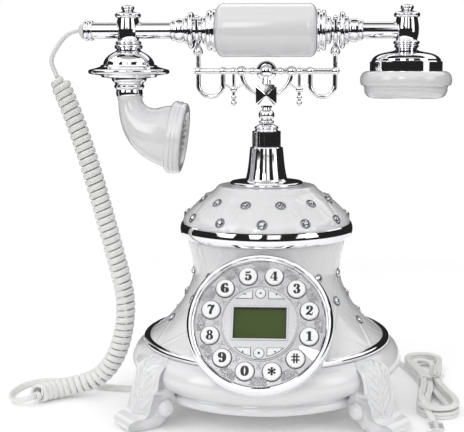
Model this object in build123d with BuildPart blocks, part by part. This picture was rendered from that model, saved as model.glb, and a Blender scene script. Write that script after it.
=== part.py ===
from build123d import *
from math import cos, radians, sin, sqrt, tan
import os

os.makedirs("parts", exist_ok=True)

# An ornate desk telephone: a round footed base, a sprung cradle on a chrome stem, and a
# long handset. Millimetres, +Z up, the dial faces -Y, and the feet stand on z = 0.

# ---- driving dimensions -------------------------------------------------------------
STEM_Y = 5.8               # the stem's axis, behind the middle of the footprint
GAP = 0.3                  # room between pieces that move past each other
SHELL = 2.6                # wall of the moulded shells

LIP_Z = 14.0               # underside of the base
DRUM_TOP = 44.4            # the drum's top edge, where the lower band sits
LOWER_BAND_TOP = 48.6
UPPER_BAND_Z = 117.5
UPPER_BAND_TOP = 127.5
DOME_TOP = 152.9
DRUM_R = 94.8
WAIST_R = 51.5

FOOT_ANGLE = 50.0          # each foot points this far round from the front or the back
FOOT_TIP_R = 118.0
FOOT_WIDTH = 28.0

DIAL_TILT = 32.0           # the dial leans back from upright
DIAL_Y = -82.0             # the dial's centre, forward of the stem
DIAL_Z = 75.0
DIAL_R = 46.2
KEY_RING_R = 32.3
KEY_R = 5.7
BEZEL_R = 23.4
LCD_WIDTH = 33.6
LCD_HEIGHT = 20.6
FUNCTION_Y = 19.6
FUNCTION_R = 3.2

ROD_R = 3.0                # the cradle's rod, and its running clearance in the stem
ROD_FIT = 0.08
BAR_Z = 231.5              # the cradle's crossbar
BAR_R = 1.9
FORK_X = 47.0
HOOK_R = 8.5

HANDSET_Z = 259.0
GRIP_HALF = 34.0
GRIP_R = 18.0
BARREL_X = 95.2
EAR_R = 31.1
MOUTH_R = 25.3
MOUTH_TILT = 7.6           # the mouth cap looks this far below level

COIL_R = 7.2               # the curly cord's outer radius
CORD_R = 2.1
LINE_R = 2.3
GEM_R = 1.7


# ---- helpers ------------------------------------------------------------------------
def spot(x, y, z):
    """A point given from the stem's axis."""
    return (x, y + STEM_Y, z)


def facing_back(x, y, z):
    """An upright plane that faces +Y, with its X direction along the row's X."""
    return Plane(origin=spot(x, y, z), x_dir=(1, 0, 0), z_dir=(0, 1, 0))


def turning_plane(origin, axis, across=(1, 0, 0)):
    """A plane for half sections: its Y direction is the turning axis."""
    return Plane(origin=origin, x_dir=across, z_dir=Vector(across).cross(Vector(axis)))


def outline(*steps):
    """Draw a closed outline: a pair is a straight run, a list is a smooth run through its points."""
    here = steps[0]
    for step in steps[1:]:
        if isinstance(step, list) and len(step) == 2:
            ThreePointArc(here, step[0], step[1])
            here = step[-1]
        elif isinstance(step, list):
            Spline(here, *step)
            here = step[-1]
        else:
            Line(here, step)
            here = step
    if here != steps[0]:
        Line(here, steps[0])


def turned(plane, *steps):
    """A solid of revolution from its half section, (radius, height along the axis)."""
    with BuildPart() as piece:
        with BuildSketch(plane):
            with BuildLine():
                outline(*steps)
            make_face()
        revolve(axis=Axis(plane.origin, plane.y_dir))
    return piece


def save(piece, name):
    """Label a finished piece and write it."""
    piece.part.label = name
    export_step(piece.part, f"parts/{name}.step")
    return piece


def route(points):
    """Straight runs joined by the largest arcs that they allow, as (points, radii)."""
    corners = [Vector(*p) for p in points]
    radii = []
    for before, corner, after in zip(corners, corners[1:], corners[2:]):
        shorter = min((corner - before).length, (after - corner).length)
        turn = (corner - before).get_angle(after - corner)
        radii.append(0.45 * shorter / tan(radians(turn) / 2))
    return corners, radii


def tube(points, radius, name):
    """A cord's solid: a round section swept along its route."""
    corners, radii = route(points)
    print(name, "radii", [round(r, 1) for r in radii])
    with BuildPart() as piece:
        with BuildLine() as path:
            FilletPolyline(*corners, radius=radii)
        with BuildSketch(Plane(origin=path.line @ 0, z_dir=path.line % 0)):
            Circle(radius)
        sweep(path=path.line)
    length = path.wires()[0].length
    section = 3.14159265 * radius ** 2
    print(name, "length", round(length, 1), "volume ratio", round(piece.part.volume / section / length, 4))
    return piece


STEM = turning_plane(spot(0, 0, 0), (0, 0, 1))
HANDSET = turning_plane(spot(0, 0, HANDSET_Z), (1, 0, 0), across=(0, 0, 1))
HANDSET_LEFT = turning_plane(spot(0, 0, HANDSET_Z), (-1, 0, 0), across=(0, 0, 1))
DIAL_NORMAL = (0, -cos(radians(DIAL_TILT)), sin(radians(DIAL_TILT)))
DIAL_CENTRE = spot(0, DIAL_Y, DIAL_Z)
DIAL = Plane(origin=DIAL_CENTRE, x_dir=(1, 0, 0), z_dir=DIAL_NORMAL)
DIAL_TURN = turning_plane(DIAL_CENTRE, DIAL_NORMAL)

# ---- dial collar: the tube that carries the dial out of the body ----------------------
COLLAR_R = 44.9
COLLAR_DEPTH = 35.5
COLLAR_FLARE = 46.0
RIM_SEAT = -2.0

with BuildPart() as collar_room:
    with BuildSketch(DIAL_TURN):
        with BuildLine():
            outline((0, 2), (COLLAR_R, 2), (COLLAR_R, -6), (COLLAR_FLARE, -COLLAR_DEPTH), (0, -COLLAR_DEPTH))
        make_face()
    revolve(axis=Axis(DIAL_TURN.origin, DIAL_TURN.y_dir))

dial_collar = turned(
    DIAL_TURN,
    (COLLAR_R - SHELL, RIM_SEAT - 2.2),
    (COLLAR_R - 0.8, RIM_SEAT - 2.2),
    (COLLAR_R, RIM_SEAT - 2.9),
    (COLLAR_R, -6),
    (COLLAR_FLARE, -COLLAR_DEPTH),
    (COLLAR_FLARE - SHELL, -COLLAR_DEPTH),
)
save(dial_collar, "dial_collar")

# ---- base shells ----------------------------------------------------------------------
with BuildPart() as base_drum:
    with BuildSketch(STEM):
        with BuildLine():
            outline(
                (81.0, LIP_Z),
                (83.4, LIP_Z),
                [(85.0, 16.8), (83.4, 19.6)],
                (83.0, 20.4),
                [(89.6, 24.6), (DRUM_R, 31.4), (93.2, 38.6), (87.6, 43.4)],
                (86.2, DRUM_TOP),
                (76.0, DRUM_TOP),
                (76.0, DRUM_TOP - 2.4),
                (85.0, DRUM_TOP - 2.4),
                [(90.2, 37.4), (DRUM_R - SHELL, 31.4), (87.6, 26.6), (80.4, 22.6)],
                (80.4, LIP_Z + 2.8),
                (81.0, LIP_Z + 2.8),
            )
        make_face()
    revolve(axis=Axis(STEM.origin, STEM.y_dir))
    add(collar_room.part, mode=Mode.SUBTRACT)
save(base_drum, "base_drum")

with BuildPart() as body_shell:
    with BuildSketch(STEM):
        with BuildLine():
            outline(
                (78.6, DRUM_TOP),
                (82.2, DRUM_TOP),
                (82.2, 48.4),
                [(76.0, 53.2), (69.0, 59.3), (63.0, 66.4), (58.2, 73.8), (54.4, 81.4), (52.2, 88.6),
                 (WAIST_R, 95.0), (52.0, 102.0), (53.5, 109.4), (55.2, UPPER_BAND_Z)],
                (46.0, UPPER_BAND_Z),
                (46.0, UPPER_BAND_Z - SHELL),
                (52.0, UPPER_BAND_Z - SHELL),
                [(50.9, 109.4), (49.4, 102.0), (WAIST_R - SHELL, 95.0), (49.7, 88.0), (52.0, 80.4),
                 (55.9, 72.4), (60.9, 64.8), (67.2, 57.4), (74.3, 51.0), (78.6, 47.6)],
            )
        make_face()
    revolve(axis=Axis(STEM.origin, STEM.y_dir))
    add(collar_room.part, mode=Mode.SUBTRACT)
save(body_shell, "body_shell")

dome_cover = turned(
    STEM,
    (55.8, UPPER_BAND_TOP),
    (58.6, UPPER_BAND_TOP),
    [(57.7, 130.5), (51.3, 138.0), (42.0, 145.6), (35.6, 148.5)],
    (34.4, 149.0),
    [(35.0, 150.8), (34.2, DOME_TOP - 0.2)],
    (30.0, DOME_TOP),
    (8.5, DOME_TOP),
    (8.5, DOME_TOP - SHELL),
    (31.0, DOME_TOP - SHELL),
    [(40.6, 143.2), (49.2, 136.0), (54.8, 130.0), (55.8, UPPER_BAND_TOP)],
)
save(dome_cover, "dome_cover")

with BuildPart() as chrome_bands:
    with BuildSketch(STEM):
        with BuildLine():
            outline((82.3, DRUM_TOP), (85.4, DRUM_TOP), [(86.9, 46.5), (85.4, LOWER_BAND_TOP)],
                    (82.3, LOWER_BAND_TOP))
        make_face()
        with BuildLine():
            outline((48.0, UPPER_BAND_Z), (56.6, UPPER_BAND_Z), (58.6, UPPER_BAND_Z + 0.6),
                    [(60.2, 122.5), (59.4, UPPER_BAND_TOP - 0.6)], (58.6, UPPER_BAND_TOP),
                    (48.0, UPPER_BAND_TOP))
        make_face()
    revolve(axis=Axis(STEM.origin, STEM.y_dir))
    add(collar_room.part, mode=Mode.SUBTRACT)
save(chrome_bands, "chrome_bands")

# ---- base plate, its screws and the weight on it -----------------------------------------
PLATE_TOP = LIP_Z + 2.6
SCREW_RING_R = 68.0
with BuildPart() as base_plate:
    with BuildSketch(Plane.XY.offset(LIP_Z)):
        with Locations(spot(0, 0, 0)[:2]):
            Circle(80.7)
    extrude(amount=PLATE_TOP - LIP_Z)
    with Locations(spot(0, 0, LIP_Z)):
        with PolarLocations(SCREW_RING_R, 4, start_angle=45):
            Hole(1.7)
save(base_plate, "base_plate")

with BuildPart() as base_screws:
    with BuildSketch(Plane.XY.offset(LIP_Z - 1.8)):
        with Locations(spot(0, 0, 0)[:2]):
            with PolarLocations(SCREW_RING_R, 4, start_angle=45):
                Circle(3.2)
    extrude(amount=1.8)
    with BuildSketch(Plane.XY.offset(LIP_Z)):
        with Locations(spot(0, 0, 0)[:2]):
            with PolarLocations(SCREW_RING_R, 4, start_angle=45):
                Circle(1.6)
    extrude(amount=8.0)
save(base_screws, "base_screws")

with BuildPart() as ballast_weight:
    with BuildSketch(Plane.XY.offset(PLATE_TOP)):
        with Locations(spot(0, 18, 0)[:2]):
            SlotOverall(96.0, 44.0)
    extrude(amount=7.0)
    fillet(ballast_weight.edges().group_by(Axis.Z)[-1], 1.5)
save(ballast_weight, "ballast_weight")


# ---- feet -------------------------------------------------------------------------------
def foot_plane(angle, side):
    """The upright plane through one foot's middle: X outward from the stem, Y up."""
    outward = Vector(cos(radians(angle)), sin(radians(angle)), 0)
    across = outward.cross(Vector(0, 0, 1))
    return Plane(origin=Vector(*spot(0, 0, 0)) + across * side, x_dir=outward, z_dir=across)


with BuildPart() as drum_room:
    with BuildSketch(STEM):
        with BuildLine():
            outline((0, LIP_Z), (83.4, LIP_Z), [(85.0, 16.8), (83.4, 19.6)], (83.0, 20.4),
                    [(89.6, 24.6), (DRUM_R, 31.4), (93.2, 38.6), (87.6, 43.4)], (86.2, DRUM_TOP),
                    (0, DRUM_TOP))
        make_face()
    revolve(axis=Axis(STEM.origin, STEM.y_dir))

with BuildPart() as feet:
    for front in (-90, 90):
        for side in (-1, 1):
            with BuildSketch(foot_plane(front + side * FOOT_ANGLE, -FOOT_WIDTH / 2)):
                with BuildLine():
                    outline(
                        (84.0, DRUM_TOP - 0.8),
                        (88.6, DRUM_TOP - 0.4),
                        [(96.4, 38.0), (99.0, 30.0), (99.4, 21.0), (101.6, 12.6), (107.0, 7.0),
                         (FOOT_TIP_R - 3.4, 7.6)],
                        [(FOOT_TIP_R, 5.0), (FOOT_TIP_R - 3.0, 1.2)],
                        (FOOT_TIP_R - 8.0, 0.0),
                        (99.0, 0.0),
                        [(93.0, 2.6), (88.4, 8.2), (85.0, LIP_Z)],
                        (76.0, LIP_Z),
                        (76.0, 22.0),
                    )
                make_face()
            extrude(amount=FOOT_WIDTH)
    fillet(feet.edges().filter_by(lambda e: e.center().Z < 12.0 and e.length > 20.0 and e.length < 29.0)
           .filter_by(GeomType.LINE), 0.8)
    add(drum_room.part, mode=Mode.SUBTRACT)
save(feet, "feet")
print("feet", len(feet.solids()))

# ---- dial: rim, plate, bezel and display -------------------------------------------------
PLATE_R = 41.0
PLATE_Z = -1.4             # depths along the dial's normal, from the rim's seat
PLATE_BACK = -4.0
BEZEL_TOP = -0.5
KEY_TOP = 0.6
KEY_BACK = -5.6
HOLE_R = KEY_R + GAP
FINGER_STOP_ANGLE = radians(-30.0)   # from the dial's right-hand side
FINGER_STOP_WAY = (cos(FINGER_STOP_ANGLE), sin(FINGER_STOP_ANGLE) * sin(radians(DIAL_TILT)),
                   sin(FINGER_STOP_ANGLE) * cos(radians(DIAL_TILT)))

with BuildPart() as dial_rim:
    with BuildSketch(DIAL_TURN):
        with BuildLine():
            outline(
                (PLATE_R + 0.1, RIM_SEAT),
                (COLLAR_R, RIM_SEAT),
                (COLLAR_R, RIM_SEAT - 2.4),
                (DIAL_R - 0.4, RIM_SEAT - 2.4),
                [(DIAL_R, 0.2), (44.6, 2.2)],
                (43.4, 2.2),
                (42.6, 0.9),
                (42.0, 1.1),
                (PLATE_R + 0.1, -0.4),
            )
        make_face()
    revolve(axis=Axis(DIAL_TURN.origin, DIAL_TURN.y_dir))
    # the finger stop, a blade riveted under the rim between the first and the last key
    with BuildSketch(Plane(origin=DIAL.offset(PLATE_Z).origin, x_dir=FINGER_STOP_WAY, z_dir=DIAL_NORMAL)):
        with BuildLine():
            outline((29.0, -0.6), (PLATE_R + 0.6, -3.6), (PLATE_R + 0.6, 3.2), (30.4, 0.9))
        make_face()
    extrude(amount=2.0)
save(dial_rim, "dial_rim")

with BuildPart() as dial_plate:
    with BuildSketch(DIAL.offset(PLATE_BACK)):
        Circle(COLLAR_R - 0.9)
    extrude(amount=RIM_SEAT - 0.05 - PLATE_BACK)
    with BuildSketch(DIAL.offset(PLATE_BACK)):
        Circle(PLATE_R)
    extrude(amount=PLATE_Z - PLATE_BACK)
    with BuildSketch(DIAL.offset(PLATE_BACK)):
        Circle(BEZEL_R + 0.1)
        with PolarLocations(KEY_RING_R, 12, start_angle=15):
            Circle(HOLE_R)
    extrude(amount=10, mode=Mode.SUBTRACT)
save(dial_plate, "dial_plate")


def wedge(side_x, side_y, grow, plane):
    """The outline of one corner function key: a slice of the bezel's circle."""
    with BuildSketch(plane) as corner:
        Circle(BEZEL_R - 1.3 + grow)
        low = 16.2 - grow
        near = 5.2 - grow
        with Locations((side_x * (near + 15), side_y * (low + 15))):
            Rectangle(30, 30, mode=Mode.INTERSECT)
    return corner


with BuildPart() as lcd_bezel:
    with BuildSketch(DIAL.offset(PLATE_BACK - 1.2)):
        Circle(25.2)
    extrude(amount=1.15)
    with BuildSketch(DIAL.offset(PLATE_BACK - 1.2)):
        Circle(BEZEL_R)
    extrude(amount=BEZEL_TOP - PLATE_BACK + 1.2)
    with BuildSketch(DIAL.offset(BEZEL_TOP)):
        Rectangle(LCD_WIDTH + 2.4, LCD_HEIGHT + 2.4)
    extrude(amount=0.6, taper=30)
    with BuildSketch(DIAL.offset(PLATE_BACK - 1.2)):
        Rectangle(LCD_WIDTH, LCD_HEIGHT)
        for side_y in (-1, 1):
            with Locations((0, side_y * FUNCTION_Y)):
                Circle(FUNCTION_R + GAP)
    extrude(amount=10, mode=Mode.SUBTRACT)
    for side_y in (-1, 1):
        for side_x in (-1, 1):
            corner = wedge(side_x, side_y, GAP, DIAL.offset(PLATE_BACK - 1.2)).sketch
            extrude(corner, amount=10, dir=DIAL.z_dir, mode=Mode.SUBTRACT)
save(lcd_bezel, "lcd_bezel")

with BuildPart() as lcd_window:
    with BuildSketch(DIAL.offset(-3.4)):
        Rectangle(LCD_WIDTH - 0.1, LCD_HEIGHT - 0.1)
    extrude(amount=1.4)
save(lcd_window, "lcd_window")

MODULE_W = LCD_WIDTH + 3.4
MODULE_H = LCD_HEIGHT + 3.4
with BuildPart() as lcd_module:
    with BuildSketch(DIAL.offset(-9.4)):
        Rectangle(MODULE_W, MODULE_H)
    extrude(amount=4.1)
    with BuildSketch(DIAL.offset(-5.3)):
        Rectangle(LCD_WIDTH - 1.6, LCD_HEIGHT - 1.6)
    extrude(amount=1.85)
save(lcd_module, "lcd_module")

# ---- keys: each slides in along the dial's normal -----------------------------------------
FLANGE_TOP = PLATE_BACK - GAP
DIGIT_NAMES = ["two", "three", "four", "five", "six", "seven", "eight", "nine", "zero", "star", "hash", "one"]
for place, digit in enumerate(DIGIT_NAMES):
    angle = radians(15 + 30 * place)
    centre = (KEY_RING_R * cos(angle), KEY_RING_R * sin(angle))
    with BuildPart() as digit_key:
        with BuildSketch(DIAL.offset(KEY_BACK)):
            with Locations(centre):
                Circle(KEY_R)
        extrude(amount=KEY_TOP - KEY_BACK)
        fillet(digit_key.edges().sort_by(Axis(DIAL.origin, DIAL.z_dir))[-1], 0.9)
        with BuildSketch(DIAL.offset(KEY_BACK)):
            with Locations(centre):
                Circle(KEY_R + 0.6)
        extrude(amount=FLANGE_TOP - KEY_BACK)
    save(digit_key, f"key_{digit}")

FUNCTION_BACK = PLATE_BACK - 1.2 - GAP
FUNCTION_TOP = 0.2
for side_y, row in ((1, "upper"), (-1, "lower")):
    for side_x, place in ((-1, "left"), (0, "middle"), (1, "right")):
        with BuildPart() as function_key:
            if side_x:
                top = wedge(side_x, side_y, 0, DIAL.offset(FUNCTION_BACK - 1.0)).sketch
            else:
                with BuildSketch(DIAL.offset(FUNCTION_BACK - 1.0), mode=Mode.PRIVATE) as button:
                    with Locations((0, side_y * FUNCTION_Y)):
                        Circle(FUNCTION_R)
                top = button.sketch
            extrude(top, amount=FUNCTION_TOP - FUNCTION_BACK + 1.0, dir=DIAL.z_dir)
            chamfer(function_key.faces().sort_by(Axis(DIAL.origin, DIAL.z_dir))[-1].edges(), 0.3)
        save(function_key, f"key_{row}_{place}")

# ---- behind the keys ------------------------------------------------------------------------
MEMBRANE_TOP = -8.2
with BuildPart() as keypad_membrane:
    with BuildSketch(DIAL.offset(MEMBRANE_TOP - 1.0)):
        Circle(40.0)
        Rectangle(MODULE_W + 0.6, MODULE_H + 0.6, mode=Mode.SUBTRACT)
    extrude(amount=0.6)
    with BuildSketch(DIAL.offset(MEMBRANE_TOP - 0.4)):
        with PolarLocations(KEY_RING_R, 12, start_angle=15):
            Circle(4.2)
        for side_y in (-1, 1):
            with Locations((-10.0, side_y * 18.6), (0, side_y * 18.6), (10.0, side_y * 18.6)):
                Circle(1.9)
    extrude(amount=0.7, taper=20)
save(keypad_membrane, "keypad_membrane")

with BuildPart() as main_board:
    with BuildSketch(DIAL.offset(-11.2)):
        Circle(41.0)
    extrude(amount=1.6)
    with BuildSketch(DIAL.offset(-11.2)):
        with Locations((0, 6)):
            Rectangle(22, 16)
        with Locations((-20, -14), (20, -14)):
            Rectangle(9, 12)
        with Locations((-16, 22), (16, 22)):
            Circle(4.0)
    extrude(amount=-4.5)
save(main_board, "main_board")

ringer_speaker = turned(
    turning_plane(spot(0, 60.8, PLATE_TOP), (0, 0, 1)),
    (0, 0), (14, 0), (14, 3.2), (19, 6.6), (19, 8.4), (16.8, 8.4), (12, 5.6), (0, 5.6),
)
save(ringer_speaker, "ringer_speaker")

# ---- stem --------------------------------------------------------------------------------------
STEM_TOP = 195.0
with BuildPart() as stem_base:
    with BuildSketch(STEM):
        with BuildLine():
            outline(
                (ROD_R + ROD_FIT, DOME_TOP),
                (24.0, DOME_TOP),
                [(25.4, 154.2), (24.2, 155.6)],
                (15.4, 156.3),
                (14.4, 157.6),
                [(13.4, 162.0), (12.2, 171.0), (11.4, 179.0)],
                (9.9, 179.6),
                (9.9, 190.2),
                (8.2, 190.6),
                (7.6, 191.6),
                [(8.3, 192.6), (7.4, 193.7)],
                (5.0, STEM_TOP),
                (ROD_R + ROD_FIT, STEM_TOP),
            )
        make_face()
    revolve(axis=Axis(STEM.origin, STEM.y_dir))
    # flutes round the collar
    with BuildSketch(Plane.XY.offset(180.2)):
        with Locations(spot(0, 0, 0)[:2]):
            with PolarLocations(10.3, 18):
                Circle(1.15)
    extrude(amount=9.4, mode=Mode.SUBTRACT)
save(stem_base, "stem_base")

with BuildPart() as hook_switch:
    with BuildSketch(Plane.XY.offset(126.0)):
        with Locations(spot(0, 0, 0)[:2]):
            Rectangle(20, 13)
    extrude(amount=12.0)
    with BuildSketch(Plane.XY.offset(138.0)):
        with Locations(spot(0, 0, 0)[:2]):
            Circle(2.4)
    extrude(amount=4.6)
    # the bracket that hangs it under the dome's top
    for side in (-1, 1):
        with BuildSketch(Plane.XY.offset(126.0)):
            with Locations(spot(side * 11.0, 0, 0)[:2]):
                Rectangle(2.0, 13)
        extrude(amount=DOME_TOP - SHELL - 126.0)
save(hook_switch, "hook_switch")

# ---- cradle: everything on the sprung rod --------------------------------------------------------
BLOCK_LOW = 208.0
BLOCK_HIGH = 222.2
BLOCK_HALF = 4.3
FACET = 1.4


def faceted_side(turn):
    """One side of the block: a low four-sided pyramid."""
    side = Plane(origin=spot(0, 0, (BLOCK_LOW + BLOCK_HIGH) / 2), x_dir=(1, 0, 0), z_dir=(0, -1, 0))
    side = side.rotated((0, turn, 0)).offset(BLOCK_HALF)
    with BuildSketch(side) as foot_of_facet:
        Rectangle(2 * BLOCK_HALF + 2 * FACET, BLOCK_HIGH - BLOCK_LOW)
    with BuildSketch(side.offset(FACET)) as point_of_facet:
        Rectangle(0.9, 1.2)
    return [foot_of_facet.sketch, point_of_facet.sketch]


with BuildPart() as cradle_stem:
    with BuildSketch(STEM):
        with BuildLine():
            outline(
                (0, 143.0),
                (ROD_R, 143.0),
                (ROD_R, 144.4),
                (5.0, 144.4),
                (5.0, 146.4),
                (ROD_R, 146.4),
                (ROD_R, STEM_TOP + 0.4),
                (4.6, STEM_TOP + 0.6),
                [(5.2, 196.6), (4.4, 197.6)],
                (3.4, 198.2),
                [(5.5, 201.4), (3.2, 204.8)],
                (2.9, 205.6),
                (3.8, 206.6),
                (3.8, BLOCK_LOW),
                (3.8, BLOCK_HIGH),
                (3.0, BLOCK_HIGH + 0.6),
                (2.4, 227.4),
                (0, 227.4),
            )
        make_face()
    revolve(axis=Axis(STEM.origin, STEM.y_dir))
    with BuildSketch(Plane.XY.offset(BLOCK_LOW)):
        with Locations(spot(0, 0, 0)[:2]):
            Rectangle(2 * BLOCK_HALF, 2 * BLOCK_HALF)
    extrude(amount=BLOCK_HIGH - BLOCK_LOW)
    for turn in (0, 90, 180, 270):
        loft(sections=faceted_side(turn))
    # the medallion on its neck
    with BuildSketch(turning_plane(spot(0, 0, BAR_Z), (0, -1, 0))):
        with BuildLine():
            outline((0, -4.9), (0.5, -4.9), [(3.4, -3.6), (4.8, -1.4)], (6.2, -1.6), [(7.0, 0), (6.2, 1.6)],
                    (4.8, 1.4), [(3.4, 3.6), (0.5, 4.9)], (0, 4.9))
        make_face()
    revolve(axis=Axis(spot(0, 0, BAR_Z), (0, -1, 0)))
save(cradle_stem, "cradle_stem")


def rod(start, end, radius):
    """A round rod between two points."""
    way = Vector(*end) - Vector(*start)
    with BuildSketch(Plane(origin=start, z_dir=way), mode=Mode.PRIVATE) as section:
        Circle(radius)
    extrude(section.sketch, amount=way.length, dir=way)


def bend(centre, reach, radius, first, last):
    """A rod bent to an arc in the upright plane; its ends are given as angles from +X towards +Z."""
    arm = Vector(cos(radians(first)), 0, sin(radians(first)))
    with BuildSketch(Plane(origin=Vector(*centre) + arm * reach, x_dir=arm, z_dir=Vector(0, -1, 0).cross(arm)),
                     mode=Mode.PRIVATE) as section:
        Circle(radius)
    revolve(section.sketch, axis=Axis(centre, (0, -1, 0)), revolution_arc=last - first)


def beaded(core, beads, low, high):
    """The half section of a rod with round beads on it, each given as (height, radius)."""
    steps = [(0, low), (core, low)]
    for height, radius in beads:
        reach = sqrt(radius ** 2 - core ** 2)
        steps += [(core, height - reach), [(radius, height), (core, height + reach)]]
    return steps + [(core, high), (0, high)]


BEND_Z = BAR_Z - 9.0
DROP_X = 22.6
INNER_X = FORK_X - 2 * HOOK_R
with BuildPart() as cradle_frame:
    # the turned crossbar with its beads
    bar_beads = [(9.6, 2.5), (17.2, 3.5), (DROP_X, 2.5), (INNER_X, 2.9), (FORK_X, 2.9)]
    bar_beads = [(-x, r) for x, r in reversed(bar_beads)] + bar_beads
    with BuildSketch(turning_plane(spot(0, 0, BAR_Z), (1, 0, 0), across=(0, 0, 1))) as bar:
        with BuildLine():
            outline(*beaded(BAR_R, bar_beads, -FORK_X - 3.2, FORK_X + 3.2))
        make_face()
    revolve(axis=Axis(spot(0, 0, BAR_Z), (1, 0, 0)))
    for side in (-1, 1):
        # the hook that curls down under the end of the bar and back up to it
        for reach in (FORK_X, INNER_X):
            rod(spot(side * reach, 0, BEND_Z), spot(side * reach, 0, BAR_Z), 1.5)
        bend(spot(side * (FORK_X - HOOK_R), 0, BEND_Z), HOOK_R, 1.5, 180, 360)
        # the scroll from the bar down to the block
        bend(spot(0, 0, BAR_Z), 17.2, 1.35, 285 if side > 0 else 180, 360 if side > 0 else 255)
        # the pendant: a beaded stem and two arms
        for arm in (-1, 1):
            rod(spot(side * DROP_X, 0, 218.6), spot(side * DROP_X + arm * 6.6, 0, 222.8), 0.85)
        with BuildSketch(turning_plane(spot(side * DROP_X, 0, 0), (0, 0, 1))):
            with BuildLine():
                outline(*beaded(0.95, [(209.8, 1.9), (213.6, 1.7), (219.2, 2.4)], 208.0, BAR_Z))
            make_face()
        revolve(axis=Axis(spot(side * DROP_X, 0, 0), (0, 0, 1)))
    add(cradle_stem.part, mode=Mode.SUBTRACT)
save(cradle_frame, "cradle_frame")

PRONG_R = 1.35
FORK_REACH = 8.5
FORK_LOW = HANDSET_Z - 8.4
with BuildPart() as cradle_forks:
    for side in (-1, 1):
        with BuildSketch(turning_plane(spot(side * FORK_X, 0, 0), (0, 0, 1))):
            with BuildLine():
                outline(
                    (0, BAR_Z + 2.6),
                    (1.4, BAR_Z + 2.6),
                    (1.4, 241.6),
                    (2.2, 242.4),
                    [(3.3, 244.8), (2.4, 247.2), (1.3, 250.4)],
                    (0, 250.4),
                )
            make_face()
        revolve(axis=Axis(spot(side * FORK_X, 0, 0), (0, 0, 1)))
        with BuildLine() as fork:
            Line(spot(side * FORK_X, -FORK_REACH, HANDSET_Z + 8.0), spot(side * FORK_X, -FORK_REACH, HANDSET_Z + 0.1))
            ThreePointArc(spot(side * FORK_X, -FORK_REACH, HANDSET_Z + 0.1), spot(side * FORK_X, 0, FORK_LOW),
                          spot(side * FORK_X, FORK_REACH, HANDSET_Z + 0.1))
            Line(spot(side * FORK_X, FORK_REACH, HANDSET_Z + 0.1), spot(side * FORK_X, FORK_REACH, HANDSET_Z + 8.0))
        with BuildSketch(Plane(origin=fork.line @ 0, z_dir=fork.line % 0)):
            Circle(PRONG_R)
        sweep(path=fork.line)
        for front in (-1, 1):
            with Locations(spot(side * FORK_X, front * FORK_REACH, HANDSET_Z + 8.2)):
                Sphere(1.8)
save(cradle_forks, "cradle_forks")

# ---- handset ---------------------------------------------------------------------------------------
TUBE_R = 5.5
with BuildPart() as handset_grip:
    with BuildSketch(HANDSET):
        with BuildLine():
            outline(
                (0, -GRIP_HALF), (13.6, -GRIP_HALF),
                [(16.8, -GRIP_HALF + 1.6), (GRIP_R, -GRIP_HALF + 6.0)],
                (GRIP_R, GRIP_HALF - 6.0),
                [(16.8, GRIP_HALF - 1.6), (13.6, GRIP_HALF)],
                (0, GRIP_HALF),
            )
        make_face()
    revolve(axis=Axis(HANDSET.origin, HANDSET.y_dir))
save(handset_grip, "handset_grip")

with BuildPart() as grip_ferrules:
    for plane in (HANDSET, HANDSET_LEFT):
        with BuildSketch(plane):
            with BuildLine():
                outline(
                    (0, GRIP_HALF), (12.8, GRIP_HALF), [(14.2, 34.9), (13.9, 36.4)], (12.2, 36.8), (12.2, 37.5),
                    [(13.6, 39.0), (12.2, 40.5)], (10.0, 40.8), (0, 40.8),
                )
            make_face()
        revolve(axis=Axis(plane.origin, plane.y_dir))
save(grip_ferrules, "grip_ferrules")

END_CAP_X = 125.6
with BuildPart() as handset_arms:
    for plane, reach in ((HANDSET, BARREL_X), (HANDSET_LEFT, END_CAP_X - 6.2)):
        with BuildSketch(plane):
            with BuildLine():
                outline(
                    (0, 40.8), (8.6, 40.8), [(9.4, 42.4), (8.4, 43.8)], (6.4, 44.6), (6.4, 49.4), (11.0, 49.9),
                    [(12.3, 51.6), (11.0, 53.3)], (9.0, 53.8), [(9.4, 54.8), (8.4, 55.8)], (6.6, 56.4),
                    (7.6, 57.2), [(8.1, 59.6), (7.6, 62.0)], (6.0, 62.6), [(6.9, 64.0), (6.0, 65.4)],
                    (TUBE_R, 65.8), (TUBE_R, reach), (0, reach),
                )
            make_face()
        revolve(axis=Axis(plane.origin, plane.y_dir))
    # the ringed cap on the left arm's end, where the cord comes out
    with BuildSketch(HANDSET_LEFT):
        with BuildLine():
            outline(
                (0, END_CAP_X - 6.4), (6.0, END_CAP_X - 6.2), [(6.9, END_CAP_X - 4.8), (6.2, END_CAP_X - 3.4)],
                (5.8, END_CAP_X - 3.1), [(6.9, END_CAP_X - 1.6), (5.8, END_CAP_X)], (0, END_CAP_X),
            )
        make_face()
    revolve(axis=Axis(HANDSET_LEFT.origin, HANDSET_LEFT.y_dir))
save(handset_arms, "handset_arms")

STRAIN_END = END_CAP_X + 3.2
strain_relief = turned(
    HANDSET_LEFT,
    (0, END_CAP_X), (5.4, END_CAP_X), [(5.5, END_CAP_X + 1.2), (4.4, END_CAP_X + 2.2)], (3.0, STRAIN_END),
    (0, STRAIN_END),
)
save(strain_relief, "strain_relief")

with BuildPart() as handset_barrels:
    for side in (-1, 1):
        plane = turning_plane(spot(side * BARREL_X, 0, 0), (0, 0, 1))
        with BuildSketch(plane):
            with BuildLine():
                outline(
                    (0, 249.4),
                    (7.6, 249.4),
                    [(8.9, 250.6), (7.6, 251.8)],
                    (7.0, 252.4),
                    [(8.0, 256.0), (8.2, 260.0), (7.6, 265.0), (7.0, 267.6)],
                    [(8.9, 269.2), (7.6, 270.8)],
                    (4.6, 271.6),
                    (3.4, 272.4),
                    [(4.5, 274.2), (2.0, 276.0)],
                    (0, 276.3),
                )
            make_face()
        revolve(axis=Axis(plane.origin, plane.y_dir))
    add(handset_arms.part, mode=Mode.SUBTRACT)
save(handset_barrels, "handset_barrels")

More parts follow.
